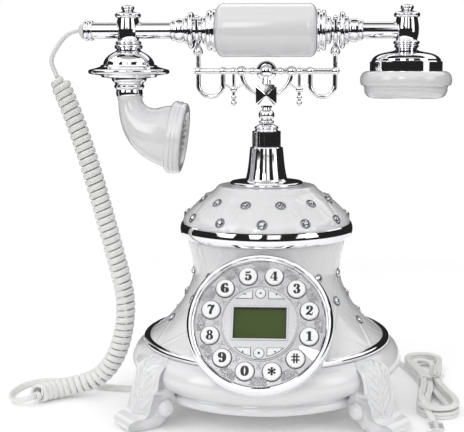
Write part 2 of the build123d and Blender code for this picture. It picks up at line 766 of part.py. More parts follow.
# ---- mouthpiece, on the left --------------------------------------------------------------------------
MOUTH_AXIS = turning_plane(spot(-BARREL_X, 0, 0), (0, 0, 1))
mouth_saucer = turned(
    MOUTH_AXIS,
    (0, 249.4), (8.6, 249.4), [(9.6, 247.8), (8.6, 246.4)], (8.0, 245.8), (9.2, 244.8),
    [(13.4, 242.4), (16.8, 238.6), (17.6, 235.8)], (19.2, 235.6), (19.6, 234.6),
    [(22.6, 233.6), (26.4, 232.6)], [(27.9, 230.8), (26.4, 229.4)], (19.4, 228.4), (18.6, 227.2), (12.0, 226.4),
    [(11.6, 224.8), (10.2, 223.8)], (9.6, 222.4), [(10.4, 221.0), (9.6, 219.6)], (8.8, 218.8),
    [(9.2, 216.6), (8.8, 214.4)], (0, 214.4),
)
save(mouth_saucer, "mouth_saucer")

# the horn's ring centres (from the barrel's axis, height), its radius there, and how far it has turned
HORN = [(0.4, 214.4, 9.2, 0), (0.5, 211.8, 8.3, 3), (1.7, 205.6, 9.4, 16), (4.6, 199.6, 11.9, 33),
        (10.4, 193.6, 15.9, 52), (17.2, 189.6, 19.0, 68), (24.0, 186.9, 20.9, 80), (27.4, 186.3, 21.7, 82.4)]


def horn_ring(ring, wall):
    """One section of the horn, square to its curved middle line."""
    x, z, radius, turn = ring
    along = (sin(radians(turn)), 0, -cos(radians(turn)))
    with BuildSketch(Plane(origin=spot(x - BARREL_X, 0, z), x_dir=(0, 1, 0), z_dir=along)) as section:
        Circle(radius - wall)
    return section.sketch


with BuildPart() as mouth_horn:
    loft(sections=[horn_ring(ring, 0) for ring in HORN[1:]])
    loft(sections=[horn_ring(ring, 0) for ring in HORN[:2]], ruled=True)
    loft(sections=[horn_ring(ring, 2.2) for ring in HORN[2:]], mode=Mode.SUBTRACT)
save(mouth_horn, "mouth_horn")

MOUTH_LOOK = (cos(radians(MOUTH_TILT)), 0, -sin(radians(MOUTH_TILT)))
MOUTH_BACK = spot(27.4 - BARREL_X, 0, 186.3)
MOUTH = turning_plane(MOUTH_BACK, MOUTH_LOOK, across=(sin(radians(MOUTH_TILT)), 0, cos(radians(MOUTH_TILT))))
mouth_cap = turned(
    MOUTH,
    (0, 2.4), (19.0, 2.4), (19.0, 0), (22.6, 0), [(24.6, 1.2), (MOUTH_R, 3.4)], (24.6, 4.6), (MOUTH_R, 6.0),
    (24.4, 7.4), [(24.2, 9.6), (21.8, 10.6)], (18.6, 10.8), (17.4, 9.2), (0, 8.4),
)
save(mouth_cap, "mouth_cap")

# ---- earpiece, on the right ----------------------------------------------------------------------------
EAR_AXIS = turning_plane(spot(BARREL_X, 0, 0), (0, 0, 1))
ear_dome = turned(
    EAR_AXIS,
    (0, 249.4), (7.4, 249.4), [(8.3, 248.2), (7.4, 247.0)], (7.0, 246.2), (8.4, 245.2),
    [(14.0, 244.0), (20.0, 242.2), (23.2, 239.6)], (23.4, 238.4), (24.6, 237.6), (24.6, 231.4), (22.4, 231.4),
    (22.4, 238.0), [(19.0, 239.6), (12.0, 241.4)], (0, 242.0),
)
save(ear_dome, "ear_dome")

ear_cap = turned(
    EAR_AXIS,
    (22.6, 231.4), (26.6, 231.4), [(30.2, 229.0), (EAR_R, 225.4), (30.4, 222.0)], (28.6, 221.4), (28.2, 219.8),
    [(27.6, 216.4), (25.2, 213.8)], (22.4, 213.2), (20.0, 215.4), (0, 216.4), (0, 218.8), (22.6, 218.8),
)
save(ear_cap, "ear_cap")

with BuildPart() as capsules:
    with BuildSketch(Plane.XY.offset(219.1)):
        with Locations(spot(BARREL_X, 0, 0)[:2]):
            Circle(17.0)
    extrude(amount=10.0)
    with BuildSketch(Plane(origin=MOUTH_BACK, z_dir=MOUTH_LOOK).offset(-5.0)):
        Circle(9.5)
    extrude(amount=7.2)
save(capsules, "capsules")

# ---- sockets under the base, and the cords ------------------------------------------------------------------
HANDSET_JACK = (-60.0, 4.0)
LINE_JACK = (34.0, 68.0)
JACK_LOW = 4.0
with BuildPart() as cord_sockets:
    with BuildSketch(Plane.XY.offset(JACK_LOW)):
        with Locations(spot(*HANDSET_JACK, 0)[:2]):
            Rectangle(12, 13)
        with Locations(spot(*LINE_JACK, 0)[:2]):
            Rectangle(14, 12)
    extrude(amount=LIP_Z - JACK_LOW)
    # the line socket's mouth faces the back
    with BuildSketch(facing_back(LINE_JACK[0], LINE_JACK[1] + 6.0, 8.6)):
        Rectangle(9.9, 6.9)
    extrude(amount=-9.0, mode=Mode.SUBTRACT)
save(cord_sockets, "cord_sockets")

PLUG_X = (LINE_JACK[0], 113.0)
with BuildPart() as line_plugs:
    with BuildSketch(facing_back(LINE_JACK[0], LINE_JACK[1] - 2.9, 8.6)):
        Rectangle(9.6, 6.6)
    extrude(amount=12.0)
    with BuildSketch(facing_back(PLUG_X[1], -78.0, 3.4)):
        Rectangle(9.6, 6.6)
    extrude(amount=12.0)
save(line_plugs, "line_plugs")

# the curly cord: a straight tail from the handset, the coil down to the floor, and a straight
# tail that runs round behind the coil and in under the base
UPPER_TAIL = [(-129.1, 0, 259), (-136.5, 0, 258.2), (-144.5, -0.2, 249), (-150.5, -0.4, 238.5), (-151.5, -0.5, 225)]
COIL = [(-145.6, 0, 228.0), (-131.5, -0.6, 192.0), (-118.6, -1.2, 148.0), (-107.4, -2.0, 104.0),
        (-98.6, -3.0, 68.0), (-104.4, -4.0, 34.0), (-119.0, -4.4, 12.6), (-141.0, -8.0, 7.2),
        (-157.0, -18.0, 7.2), (-163.0, -36.0, 7.2)]
LOWER_TAIL = [(-162.0, -31.0, 2.2), (-175.0, -29.0, 2.2), (-182.6, -16.0, 2.2), (-182.0, 3.0, 2.2),
              (-174.0, 18.0, 2.2), (-157.0, 22.0, 2.2), (-138.0, 16.0, 2.2), (-119.0, 8.0, 2.2),
              (-101.0, 4.6, 2.3), (-87.0, 4.0, 3.6), (-76.0, 4.0, 7.0), (-66.0, 4.0, 8.6)]
LINE_LEAD = [(34.0, 77.1, 8.6), (34.2, 90.0, 7.2), (38.0, 103.0, 3.2), (48.0, 113.0, 2.3), (62.0, 118.0, 2.3),
             (79.0, 116.0, 2.3), (94.0, 108.0, 2.3), (106.0, 96.0, 2.3), (111.0, 80.0, 2.3)]
LINE_END = [(113.0, -66.0, 3.4), (113.4, -55.0, 3.0), (116.0, -42.0, 2.4)]


def standing(points):
    """A route given from the stem's axis."""
    return [spot(*point) for point in points]


curly_coil = save(tube(standing(COIL), COIL_R, "curly_coil"), "curly_coil")

with BuildPart() as upper_cord_tail:
    add(tube(standing(UPPER_TAIL), CORD_R, "upper_cord_tail").part)
    add(curly_coil.part, mode=Mode.SUBTRACT)
save(upper_cord_tail, "upper_cord_tail")

with BuildPart() as lower_cord_tail:
    add(tube(standing(LOWER_TAIL), CORD_R, "lower_cord_tail").part)
    add(curly_coil.part, mode=Mode.SUBTRACT)
    add(cord_sockets.part, mode=Mode.SUBTRACT)
save(lower_cord_tail, "lower_cord_tail")

# ---- line cord: plugged in at the back, wound into a hank beside the base ------------------------
HANK_X = 119.0
HANK_Y = 22.0
HANK_HIGH = 8.6
TIE_WALL = 0.9
with BuildPart() as hank_tie:
    with BuildSketch(facing_back(HANK_X, HANK_Y - 2.0, HANK_HIGH / 2 + TIE_WALL)):
        Rectangle(15.0 + 2 * TIE_WALL, HANK_HIGH + 2 * TIE_WALL)
        Rectangle(15.0, HANK_HIGH, mode=Mode.SUBTRACT)
    extrude(amount=4.0)
save(hank_tie, "hank_tie")

with BuildPart() as line_hank:
    with BuildSketch(Plane.XY.offset(0.0)):
        with BuildLine():
            outline(
                spot(HANK_X + 7.4, HANK_Y, 0)[:2],
                [spot(HANK_X + dx, HANK_Y + dy, 0)[:2] for dx, dy in
                 ((13.0, -24.0), (15.0, -44.0), (10.0, -62.0), (0.0, -68.0), (-10.0, -62.0), (-15.0, -44.0),
                  (-13.0, -24.0), (-7.4, 0.0))],
                [spot(HANK_X + dx, HANK_Y + dy, 0)[:2] for dx, dy in
                 ((-13.0, 24.0), (-15.0, 42.0), (-10.0, 60.0), (0.0, 66.0), (10.0, 60.0), (15.0, 42.0),
                  (13.0, 24.0), (7.4, 0.0))],
            )
        make_face()
    extrude(amount=HANK_HIGH + TIE_WALL)
    add(hank_tie.part, mode=Mode.SUBTRACT)
save(line_hank, "line_hank")

with BuildPart() as line_cord:
    add(tube(standing(LINE_LEAD), LINE_R, "line_lead").part)
    add(tube(standing(LINE_END), LINE_R, "line_end").part)
    add(line_hank.part, mode=Mode.SUBTRACT)
    add(line_plugs.part, mode=Mode.SUBTRACT)
save(line_cord, "line_cord")

# ---- rhinestones, set into the dome and the flared body -------------------------------------------
# each row: height, radius, how far its stones look up, and the first stone's angle
GEM_ROWS = [(144.0, 44.4, 50.0, 15.0), (133.0, 56.0, 32.0, 0.0), (93.5, 51.6, 2.0, 15.0), (77.0, 56.5, 27.0, 0.0),
            (61.5, 67.2, 41.0, 15.0)]
GEM_CLEARANCE = 52.0       # stones nearer to the dial's axis than this are left out
with BuildPart() as rhinestones:
    for height, radius, looks_up, first in GEM_ROWS:
        for count in range(12):
            angle = radians(first + 30 * count - 90)
            up = radians(looks_up)
            place = Vector(*spot(radius * cos(angle), radius * sin(angle), height))
            normal = Vector(cos(angle) * cos(up), sin(angle) * cos(up), sin(up))
            arm = place - Vector(*DIAL_CENTRE)
            beside = arm - Vector(*DIAL_NORMAL) * arm.dot(Vector(*DIAL_NORMAL))
            if beside.length < GEM_CLEARANCE:
                continue
            with BuildSketch(Plane(origin=place - normal * 0.5, z_dir=normal)):
                Circle(GEM_R)
            extrude(amount=1.5, taper=25)
save(rhinestones, "rhinestones")
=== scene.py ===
import random
from math import cos, exp, hypot, pi, radians, sin

import bpy
import numpy as np
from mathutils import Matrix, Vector


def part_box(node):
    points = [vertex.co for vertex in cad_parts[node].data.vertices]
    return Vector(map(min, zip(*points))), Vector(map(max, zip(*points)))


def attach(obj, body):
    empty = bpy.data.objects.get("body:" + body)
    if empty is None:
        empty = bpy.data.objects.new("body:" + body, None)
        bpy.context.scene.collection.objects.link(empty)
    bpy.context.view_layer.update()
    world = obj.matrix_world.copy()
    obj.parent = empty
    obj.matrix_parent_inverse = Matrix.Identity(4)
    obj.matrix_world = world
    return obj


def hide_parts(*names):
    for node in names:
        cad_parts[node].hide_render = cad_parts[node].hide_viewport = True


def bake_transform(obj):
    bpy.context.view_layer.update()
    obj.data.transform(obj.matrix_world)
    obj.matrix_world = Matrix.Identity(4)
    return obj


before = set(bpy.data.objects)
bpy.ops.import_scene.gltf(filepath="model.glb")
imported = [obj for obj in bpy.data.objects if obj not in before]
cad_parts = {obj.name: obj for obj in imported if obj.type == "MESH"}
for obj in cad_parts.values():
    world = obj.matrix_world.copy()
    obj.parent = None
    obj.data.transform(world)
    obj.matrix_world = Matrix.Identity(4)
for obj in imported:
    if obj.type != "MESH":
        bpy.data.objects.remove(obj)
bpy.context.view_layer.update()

MM = 0.001
STEM_LOW, STEM_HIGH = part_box("stem_base")
STEM_Y = (STEM_LOW.y + STEM_HIGH.y) / 2            # the stem's axis stands at x 0 and this y
FRONT = -90.0                                      # degrees round the stem, towards the dial
rng = random.Random(7)
noise = np.random.RandomState(11)


# ---- materials ----
def set_inputs(tree, node, **inputs):
    """Give a shader node's inputs their values, or link them to other nodes' outputs."""
    for name, value in inputs.items():
        socket = node.inputs[name.replace("_", " ")]
        if isinstance(value, bpy.types.NodeSocket):
            tree.links.new(value, socket)
        else:
            socket.default_value = value
    return node


def new_node(tree, kind, **inputs):
    return set_inputs(tree, tree.nodes.new("ShaderNode" + kind), **inputs)


def material(name, colour, rough, metal=0.0, mottle=0.03, mottle_size=0.02, rough_vary=0.05,
             bump=0.02, bump_size=0.0008, **sockets):
    """A surface whose colour, gloss and height each vary a little from place to place."""
    made = bpy.data.materials.new(name)
    made.use_nodes = True
    tree = made.node_tree
    place = new_node(tree, "TexCoord").outputs["Object"]

    def cloud(scale, detail):
        return new_node(tree, "TexNoise", Vector=place, Scale=scale, Detail=detail).outputs["Fac"]

    tint = new_node(tree, "ValToRGB", Fac=cloud(1.0 / mottle_size, 5.0))
    for stop, side in zip(tint.color_ramp.elements, (-1, 1)):
        stop.position = 0.5 + 0.2 * side
        stop.color = [min(1.0, c * (1 + side * mottle)) for c in colour] + [1]
    gloss = new_node(tree, "MapRange", Value=cloud(3.1 / mottle_size, 6.0), From_Min=0.3, From_Max=0.7,
                     To_Min=max(0.0, rough - rough_vary), To_Max=rough + rough_vary)
    grain = new_node(tree, "Bump", Height=cloud(1.0 / bump_size, 3.0), Strength=bump, Distance=0.0004)
    set_inputs(tree, tree.nodes["Principled BSDF"], Base_Color=tint.outputs["Color"],
               Roughness=gloss.outputs["Result"], Normal=grain.outputs["Normal"], Metallic=metal, **sockets)
    return made


WHITE = (0.775, 0.775, 0.785)
ENAMEL = material("white_enamel", WHITE, 0.13, mottle=0.015, mottle_size=0.05, rough_vary=0.03,
                  bump=0.015, bump_size=0.004, Coat_Weight=0.5, Coat_Roughness=0.04)
CHROME = material("chrome", (0.86, 0.86, 0.88), 0.05, metal=1.0, mottle=0.02, rough_vary=0.025, bump=0.01,
                  bump_size=0.003)
SILVER = material("silver_plate", (0.47, 0.47, 0.48), 0.20, metal=0.92, mottle=0.06, mottle_size=0.006,
                  rough_vary=0.07, bump=0.08)
BRUSHED = material("silver_panel", (0.55, 0.55, 0.57), 0.30, metal=0.6, mottle=0.04, rough_vary=0.06,
                   bump=0.05)
KEY_WHITE = material("key_plastic", (0.87, 0.87, 0.88), 0.22, mottle=0.02, bump=0.03, Coat_Weight=0.2)
KEY_SILVER = material("silver_keys", (0.74, 0.75, 0.77), 0.28, metal=0.2, mottle=0.03, bump=0.04)
GLASS = material("display_glass", (0.060, 0.090, 0.026), 0.30, mottle=0.10, mottle_size=0.03, rough_vary=0.02,
                 bump=0.0, Specular_IOR_Level=0.12)
DISPLAY = material("display_body", (0.06, 0.07, 0.05), 0.5, mottle=0.1)
# black for the print, also used for the display's painted shadow line
BLACK = material("print_black", (0.008, 0.008, 0.009), 0.4, mottle=0.2, mottle_size=0.001, bump=0.05)
# black for the real black parts, and also painted shade: the rings round the round keys and the discs in the
# sound holes
BLACK_PARTS_AND_SHADE = material("black_parts", (0.02, 0.02, 0.022), 0.45, mottle=0.2, bump=0.15)
SILICONE = material("silicone", (0.45, 0.45, 0.44), 0.6, mottle=0.05)
BOARD = material("circuit_board", (0.02, 0.10, 0.04), 0.45, mottle=0.2, mottle_size=0.004)
SOCKET = material("socket_plastic", (0.70, 0.70, 0.71), 0.35, mottle=0.03, bump=0.05)
STEEL = material("screw_steel", (0.55, 0.55, 0.56), 0.28, metal=1.0, mottle=0.08, mottle_size=0.002)
IRON = material("ballast_iron", (0.16, 0.16, 0.17), 0.6, metal=0.8, mottle=0.2, mottle_size=0.004, bump=0.4)
CRYSTAL = material("crystal", (0.66, 0.67, 0.70), 0.03, metal=0.92, mottle=0.45, mottle_size=0.0016,
                   rough_vary=0.02, bump=0.0)
OLD_SILVER = material("stone_setting", (0.30, 0.30, 0.31), 0.22, metal=1.0, mottle=0.2, mottle_size=0.001,
                      bump=0.05)
CORD_SKIN = material("handset_cord", (0.79, 0.79, 0.78), 0.36, mottle=0.04, mottle_size=0.004,
                     rough_vary=0.06, bump=0.06, bump_size=0.0005)
FLAT_SKIN = material("line_cord", (0.78, 0.78, 0.77), 0.33, mottle=0.03, mottle_size=0.006, bump=0.05)
TIE_SKIN = material("tie", (0.76, 0.76, 0.75), 0.5, mottle=0.04, mottle_size=0.002, bump=0.2)
CLEAR = material("clear_plug", (0.86, 0.87, 0.87), 0.12, mottle=0.03, mottle_size=0.003, bump=0.02,
                 Transmission_Weight=0.45, IOR=1.5)
GOLD = material("contact_gold", (0.80, 0.60, 0.22), 0.22, metal=1.0, mottle=0.06, mottle_size=0.001)

CAD_FINISH = {
    ENAMEL: ["base_drum", "dial_collar", "base_plate", "handset_grip", "mouth_horn", "mouth_cap", "ear_cap",
             "feet", "body_shell", "dome_cover"],
    CHROME: ["chrome_bands", "dial_rim", "stem_base", "cradle_stem", "cradle_frame", "cradle_forks",
             "grip_ferrules", "handset_arms", "handset_barrels", "mouth_saucer", "ear_dome"],
    SILVER: ["dial_plate"],
    BRUSHED: ["lcd_bezel"],
    GLASS: ["lcd_window"],
    DISPLAY: ["lcd_module"],
    SILICONE: ["keypad_membrane"],
    BOARD: ["main_board"],
    BLACK_PARTS_AND_SHADE: ["ringer_speaker", "hook_switch", "capsules"],
    SOCKET: ["cord_sockets"],
    IRON: ["ballast_weight"],
    STEEL: ["base_screws"],
    CORD_SKIN: ["strain_relief", "curly_coil", "upper_cord_tail", "lower_cord_tail"],
    FLAT_SKIN: ["line_cord", "line_hank"],
    TIE_SKIN: ["hank_tie"],
    CLEAR: ["line_plugs"],
    CRYSTAL: ["rhinestones"],
}
for finish, names in CAD_FINISH.items():
    for name in names:
        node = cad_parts[name]
        node.data.materials.clear()
        node.data.materials.append(finish)
for name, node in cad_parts.items():
    if name.startswith("key_"):
        node.data.materials.clear()
        function_key = name.split("_")[1] in ("upper", "lower")
        node.data.materials.append(KEY_SILVER if function_key else KEY_WHITE)


# ---- making meshes ----
def piece(name, points, faces, finish, body="root", smooth=True):
    """A new mesh object from points in the shared frame, in metres."""
    mesh = bpy.data.meshes.new(name)
    mesh.from_pydata([tuple(p) for p in points], [], [tuple(f) for f in faces])
    mesh.validate()
    mesh.update()
    mesh.materials.append(finish)
    if smooth:
        mesh.polygons.foreach_set("use_smooth", [True] * len(mesh.polygons))
    made = bpy.data.objects.new(name, mesh)
    bpy.context.collection.objects.link(made)
    if body:
        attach(made, body)
    return made


def grid_faces(rows, columns, closed_columns=False, closed_rows=False):
    """Four-sided faces between points laid out row by row."""
    faces = []
    for i in range(rows if closed_rows else rows - 1):
        for j in range(columns if closed_columns else columns - 1):
            a, b = i, (i + 1) % rows
            c, d = j, (j + 1) % columns
            faces.append((a * columns + c, a * columns + d, b * columns + d, b * columns + c))
    return faces


class Heap:
    """Points and faces of one piece, put together part by part."""

    def __init__(self):
        self.points, self.faces = [], []

    def add(self, points, faces):
        first = len(self.points)
        self.points.extend(tuple(p) for p in points)
        self.faces.extend(tuple(first + i for i in f) for f in faces)

    def lathe(self, origin, axis, outline, sides=24, across=None, ring=False):
        """A closed turned shape, from (radius, height) pairs along the axis. A ring has a hole."""
        axis = Vector(axis).normalized()
        across = (axis.orthogonal() if across is None else Vector(across)).normalized()
        other = axis.cross(across)
        rings = []
        for radius, height in outline:
            for k in range(sides):
                turn = 2 * pi * k / sides
                rings.append(Vector(origin) + axis * height
                             + (across * cos(turn) + other * sin(turn)) * radius)
        faces = grid_faces(len(outline), sides, closed_columns=True, closed_rows=ring)
        if not ring:
            faces.append(tuple(reversed(range(sides))))
            faces.append(tuple(range((len(outline) - 1) * sides, len(outline) * sides)))
        self.add(rings, faces)

    def block(self, centre, x_dir, y_dir, z_dir, size, bevel):
        """A box with bevelled edges, its size given along the three directions."""
        x_dir, y_dir, z_dir = (Vector(d).normalized() for d in (x_dir, y_dir, z_dir))
        half = [s / 2 for s in size]
        levels = ((-half[2], bevel), (-half[2] + bevel, 0), (half[2] - bevel, 0), (half[2], bevel))
        corners = []
        for level, inset in levels:
            w, h, b = half[0] - inset, half[1] - inset, bevel
            for px, py in ((w - b, -h), (w, -h + b), (w, h - b), (w - b, h), (-w + b, h), (-w, h - b),
                           (-w, -h + b), (-w + b, -h)):
                corners.append(Vector(centre) + x_dir * px + y_dir * py + z_dir * level)
        faces = grid_faces(len(levels), 8, closed_columns=True)
        faces.append(tuple(reversed(range(8))))
        faces.append(tuple(range(len(corners) - 8, len(corners))))
        self.add(corners, faces)


def in_mm(*pairs):
    """The outline of a turned shape, its radii and heights given in millimetres."""
    return [(radius * MM, height * MM) for radius, height in pairs]


def spot(x, y, z):
    """A place given in millimetres from the foot of the stem's axis."""
    return Vector((x * MM, y * MM + STEM_Y, z * MM))


# ---- cords ----
# the routes' points, in millimetres from the foot of the stem's axis
UPPER_TAIL = [(-129.1, 0, 259), (-136.5, 0, 258.2), (-144.5, -0.2, 249), (-150.5, -0.4, 238.5),
              (-151.5, -0.5, 225)]
COIL = [(-145.6, 0, 228), (-131.5, -0.6, 192), (-118.6, -1.2, 148), (-107.4, -2, 104), (-98.6, -3, 68),
        (-104.4, -4, 34), (-119, -4.4, 12.6), (-141, -8, 7.2), (-157, -18, 7.2), (-163, -36, 7.2)]
LOWER_TAIL = [(-162, -31, 2.2), (-175, -29, 2.2), (-182.6, -16, 2.2), (-182, 3, 2.2), (-174, 18, 2.2),
              (-157, 22, 2.2), (-138, 16, 2.2), (-119, 8, 2.2), (-101, 4.6, 2.3), (-87, 4, 3.6), (-76, 4, 7),
              (-66, 4, 8.6)]
LINE_LEAD = [(34, 77.1, 8.6), (34.2, 90, 7.2), (38, 103, 2.4), (48, 113, 1.25), (62, 118, 1.25),
             (79, 116, 1.25), (94, 108, 1.25)]
LINE_END = [(112.6, -50, 3.2), (112.9, -60, 2.6), (113, -66, 3.4)]


def route_line(name, points):
    """The smooth line of a route, read from a NURBS spline that its points control."""
    curve = bpy.data.curves.new(name, "CURVE")
    curve.dimensions = "3D"
    spline = curve.splines.new("NURBS")
    spline.points.add(len(points) - 1)
    for knot, p in zip(spline.points, points):
        knot.co = (*p, 1)
    spline.order_u = 3
    spline.use_endpoint_u = True
    spline.resolution_u = 32
    holder = bpy.data.objects.new(name, curve)
    bpy.context.collection.objects.link(holder)
    bpy.context.view_layer.update()
    mesh = bpy.data.meshes.new_from_object(holder.evaluated_get(bpy.context.evaluated_depsgraph_get()))
    line = np.array([v.co for v in mesh.vertices], float)
    bpy.data.objects.remove(holder)
    bpy.data.meshes.remove(mesh)
    return line


def run_along(line):
    """How far each point lies along the line."""
    return np.r_[0, np.cumsum(np.linalg.norm(np.diff(line, axis=0), axis=1))]


def read_at(where, marks, values):
    """Rows of values, known at the marks, read at other places."""
    return np.stack([np.interp(where, marks, column) for column in values.T], 1)


def along(line, step):
    """The same line with points every step metres."""
    line = line[np.r_[True, np.linalg.norm(np.diff(line, axis=0), axis=1) > 1e-9]]
    run = run_along(line)
    marks = np.linspace(0, run[-1], max(2, int(round(run[-1] / step)) + 1))
    return read_at(marks, run, line), marks


def directions(line):
    """The unit direction of the line at each of its points."""
    ahead = np.gradient(line, axis=0)
    return ahead / np.linalg.norm(ahead, axis=1)[:, None]


def carried_frame(line, start):
    """A side direction carried along the line without twist, and the one across it."""
    ahead = directions(line)
    side = np.array(start, float)
    sides = []
    for t in ahead:
        side = side - t * side.dot(t)
        side = side / np.linalg.norm(side)
        sides.append(side.copy())
    sides = np.array(sides)
    return ahead, sides, np.cross(ahead, sides)


def sweep(centres, wide, thick, section):
    """A closed tube: section is (across, up) pairs, laid at each centre along wide and thick."""
    count = len(section)
    points = (centres[:, None, :] + wide[:, None, :] * section[None, :, :1]
              + thick[:, None, :] * section[None, :, 1:])
    faces = grid_faces(len(centres), count, closed_columns=True)
    faces.append(tuple(reversed(range(count))))
    faces.append(tuple(range((len(centres) - 1) * count, len(centres) * count)))
    return points.reshape(-1, 3), faces


def oval(wide, thick, power, count):
    """A flattened oval section, squarer as power falls below one."""
    turn = np.arange(count) * 2 * pi / count
    return np.stack([wide / 2 * np.sign(np.cos(turn)) * np.abs(np.cos(turn)) ** power,
                     thick / 2 * np.sign(np.sin(turn)) * np.abs(np.sin(turn)) ** power], 1)


COIL_PITCH = 4.85 * MM
COIL_REACH = 5.6 * MM            # from the coil's middle line to the middle of its cord
COIL_TOP, COIL_FOOT = spot(-146.6, 0, 227), spot(-161.6, -29, 7.0)      # where its turns start and end
COIL_RAMP = 6.0 * MM             # over this length the straight cord opens into full turns
CORD_WIDE, CORD_THICK = 4.3 * MM, 2.7 * MM
ROUTE_STEP, HELIX_STEP, CORD_STEP = 0.75 * MM, 0.19 * MM, 1.45 * MM

handset_points = [spot(*p) for p in UPPER_TAIL[:-1] + COIL + LOWER_TAIL[1:]]
middle, marks = along(route_line("handset_route", handset_points), ROUTE_STEP)
_, side, across = carried_frame(middle, (0, 0, 1))
coil_from, coil_to = (marks[int(np.argmin(np.linalg.norm(middle - np.array(end), axis=1)))]
                      for end in (COIL_TOP, COIL_FOOT))
fine = np.linspace(0, marks[-1], int(marks[-1] / HELIX_STEP))
reach = COIL_REACH * np.clip(np.minimum(fine - coil_from, coil_to - fine) / COIL_RAMP, 0, 1)
reach = COIL_REACH * (reach / COIL_REACH) ** 2 * (3 - 2 * reach / COIL_REACH)
coil_turn = 2 * pi * np.clip(fine - coil_from, 0, coil_to - coil_from) / COIL_PITCH
out = read_at(fine, marks, side) * np.cos(coil_turn)[:, None]
out += read_at(fine, marks, across) * np.sin(coil_turn)[:, None]
helix = read_at(fine, marks, middle) + out * reach[:, None]
cord_line, _ = along(helix, CORD_STEP)
cord_marks = run_along(helix)
even = np.linspace(0, cord_marks[-1], len(cord_line))
cord_out = read_at(even, cord_marks, out)
cord_ahead = directions(cord_line)
cord_out -= cord_ahead * (cord_out * cord_ahead).sum(1)[:, None]
cord_out /= np.linalg.norm(cord_out, axis=1)[:, None]
cord_wide = np.cross(cord_ahead, cord_out)
points, faces = sweep(cord_line, cord_wide, cord_out, oval(CORD_WIDE, CORD_THICK, 0.75, 12))
handset_cord = piece("handset_cord", points, faces, CORD_SKIN, body=None)
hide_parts("curly_coil", "upper_cord_tail", "lower_cord_tail")
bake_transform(handset_cord)

# the line cord: a flat cord, wound into a hank whose runs are pinched together by a tie
HANK_X, HANK_Y = 119.0, 22.0
FLAT_WIDE, FLAT_THICK = 4.6 * MM, 2.3 * MM
OUTER, INNER = 12.2, 7.6         # half widths of the hank's outer and inner loops
OUTER_END, INNER_END = 64.6, 59.6
# each pass along the hank: side, half width, layer in the loops, column and layer under the tie
PASSES = [(-1, OUTER, 0, -4.7, 0), (1, OUTER, 0, 4.7, 0), (-1, OUTER, 1, -4.7, 1), (1, OUTER, 1, 4.7, 1),
          (-1, INNER, 0, 0, 0), (1, INNER, 1, 0, 1), (-1, INNER, 2, 0, 2), (1, OUTER, 2, 4.7, 2),
          (-1, OUTER, 2, -4.7, 2), (1, OUTER, 3, 4.7, 3), (-1, OUTER, 3, -4.7, 3)]
PASS_POINTS = 11
BEND = 0.7                       # how much of a pass's half turn, in radians, each of its end bends takes up
END_GAP = 0.6                    # how much of the first and the last pass is left out
LAYER_HEIGHT = 2.36              # from one layer of the hank to the next


def eased(x):
    """A smooth step from 0 to 1."""
    x = min(1.0, max(0.0, x))
    return x * x * (3 - 2 * x)


def hank_points():
    """The hank's points: each pass runs from one end loop, under the tie, to the other."""
    found = []
    for number, (lay_side, half, layer, column, tied) in enumerate(PASSES):
        before = PASSES[max(0, number - 1)]
        after = PASSES[min(len(PASSES) - 1, number + 1)]
        reach_before = OUTER_END if min(half, before[1]) == OUTER else INNER_END
        reach_after = OUTER_END if min(half, after[1]) == OUTER else INNER_END
        slack = rng.uniform(-0.7, 0.7)
        for k in range(PASS_POINTS):
            t = pi * k / PASS_POINTS
            if number == 0 and t < END_GAP or number == len(PASSES) - 1 and t > pi - END_GAP:
                continue                                 # the cord joins and leaves the hank here
            towards = (1 + cos(t)) / 2
            end = reach_before * towards + reach_after * (1 - towards) + slack * sin(t)
            sideways = lay_side * (half + slack * 0.3) * 2.6 * sin(t) * cos(t) ** 2
            sideways += column * sin(t) ** 4
            tie_share = sin(t) ** 10
            height = layer + (tied - layer) * tie_share
            if t < BEND:
                height += (before[2] - layer) / 2 * (1 - eased(t / BEND))
            if t > pi - BEND:
                height += (after[2] - layer) / 2 * (1 - eased((pi - t) / BEND))
            lift = 1.2 + LAYER_HEIGHT * height
            lift += (2.05 + 2.1 * tied - lift) * tie_share
            backward = end * cos(t) * (1 if number % 2 == 0 else -1)
            found.append((HANK_X + sideways, HANK_Y + backward, lift))
    return found


line_route = [spot(*p) for p in LINE_LEAD + hank_points() + LINE_END]
flat_line, _ = along(route_line("line_route", line_route), 1.5 * MM)
flat_ahead = directions(flat_line)
flat_wide = np.cross(flat_ahead, np.array([0, 0, 1.0]))
flat_wide /= np.linalg.norm(flat_wide, axis=1)[:, None]
flat_up = np.cross(flat_wide, flat_ahead)
half_wide, half_thick = FLAT_WIDE / 2, FLAT_THICK / 2
flat_section = []
for up in (-1, 1):
    for share, rise in ((-0.99, 0.35), (-0.9, 0.8), (-0.7, 1.0), (-0.3, 0.97), (-0.12, 0.8), (0, 0.66),
                        (0.12, 0.8), (0.3, 0.97), (0.7, 1.0), (0.9, 0.8), (0.99, 0.35)):
        flat_section.append((-up * share * half_wide, up * rise * half_thick))
points, faces = sweep(flat_line, flat_wide, flat_up, np.array(flat_section))
line_cord = piece("line_cord_flat", points, faces, FLAT_SKIN)
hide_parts("line_cord", "line_hank")

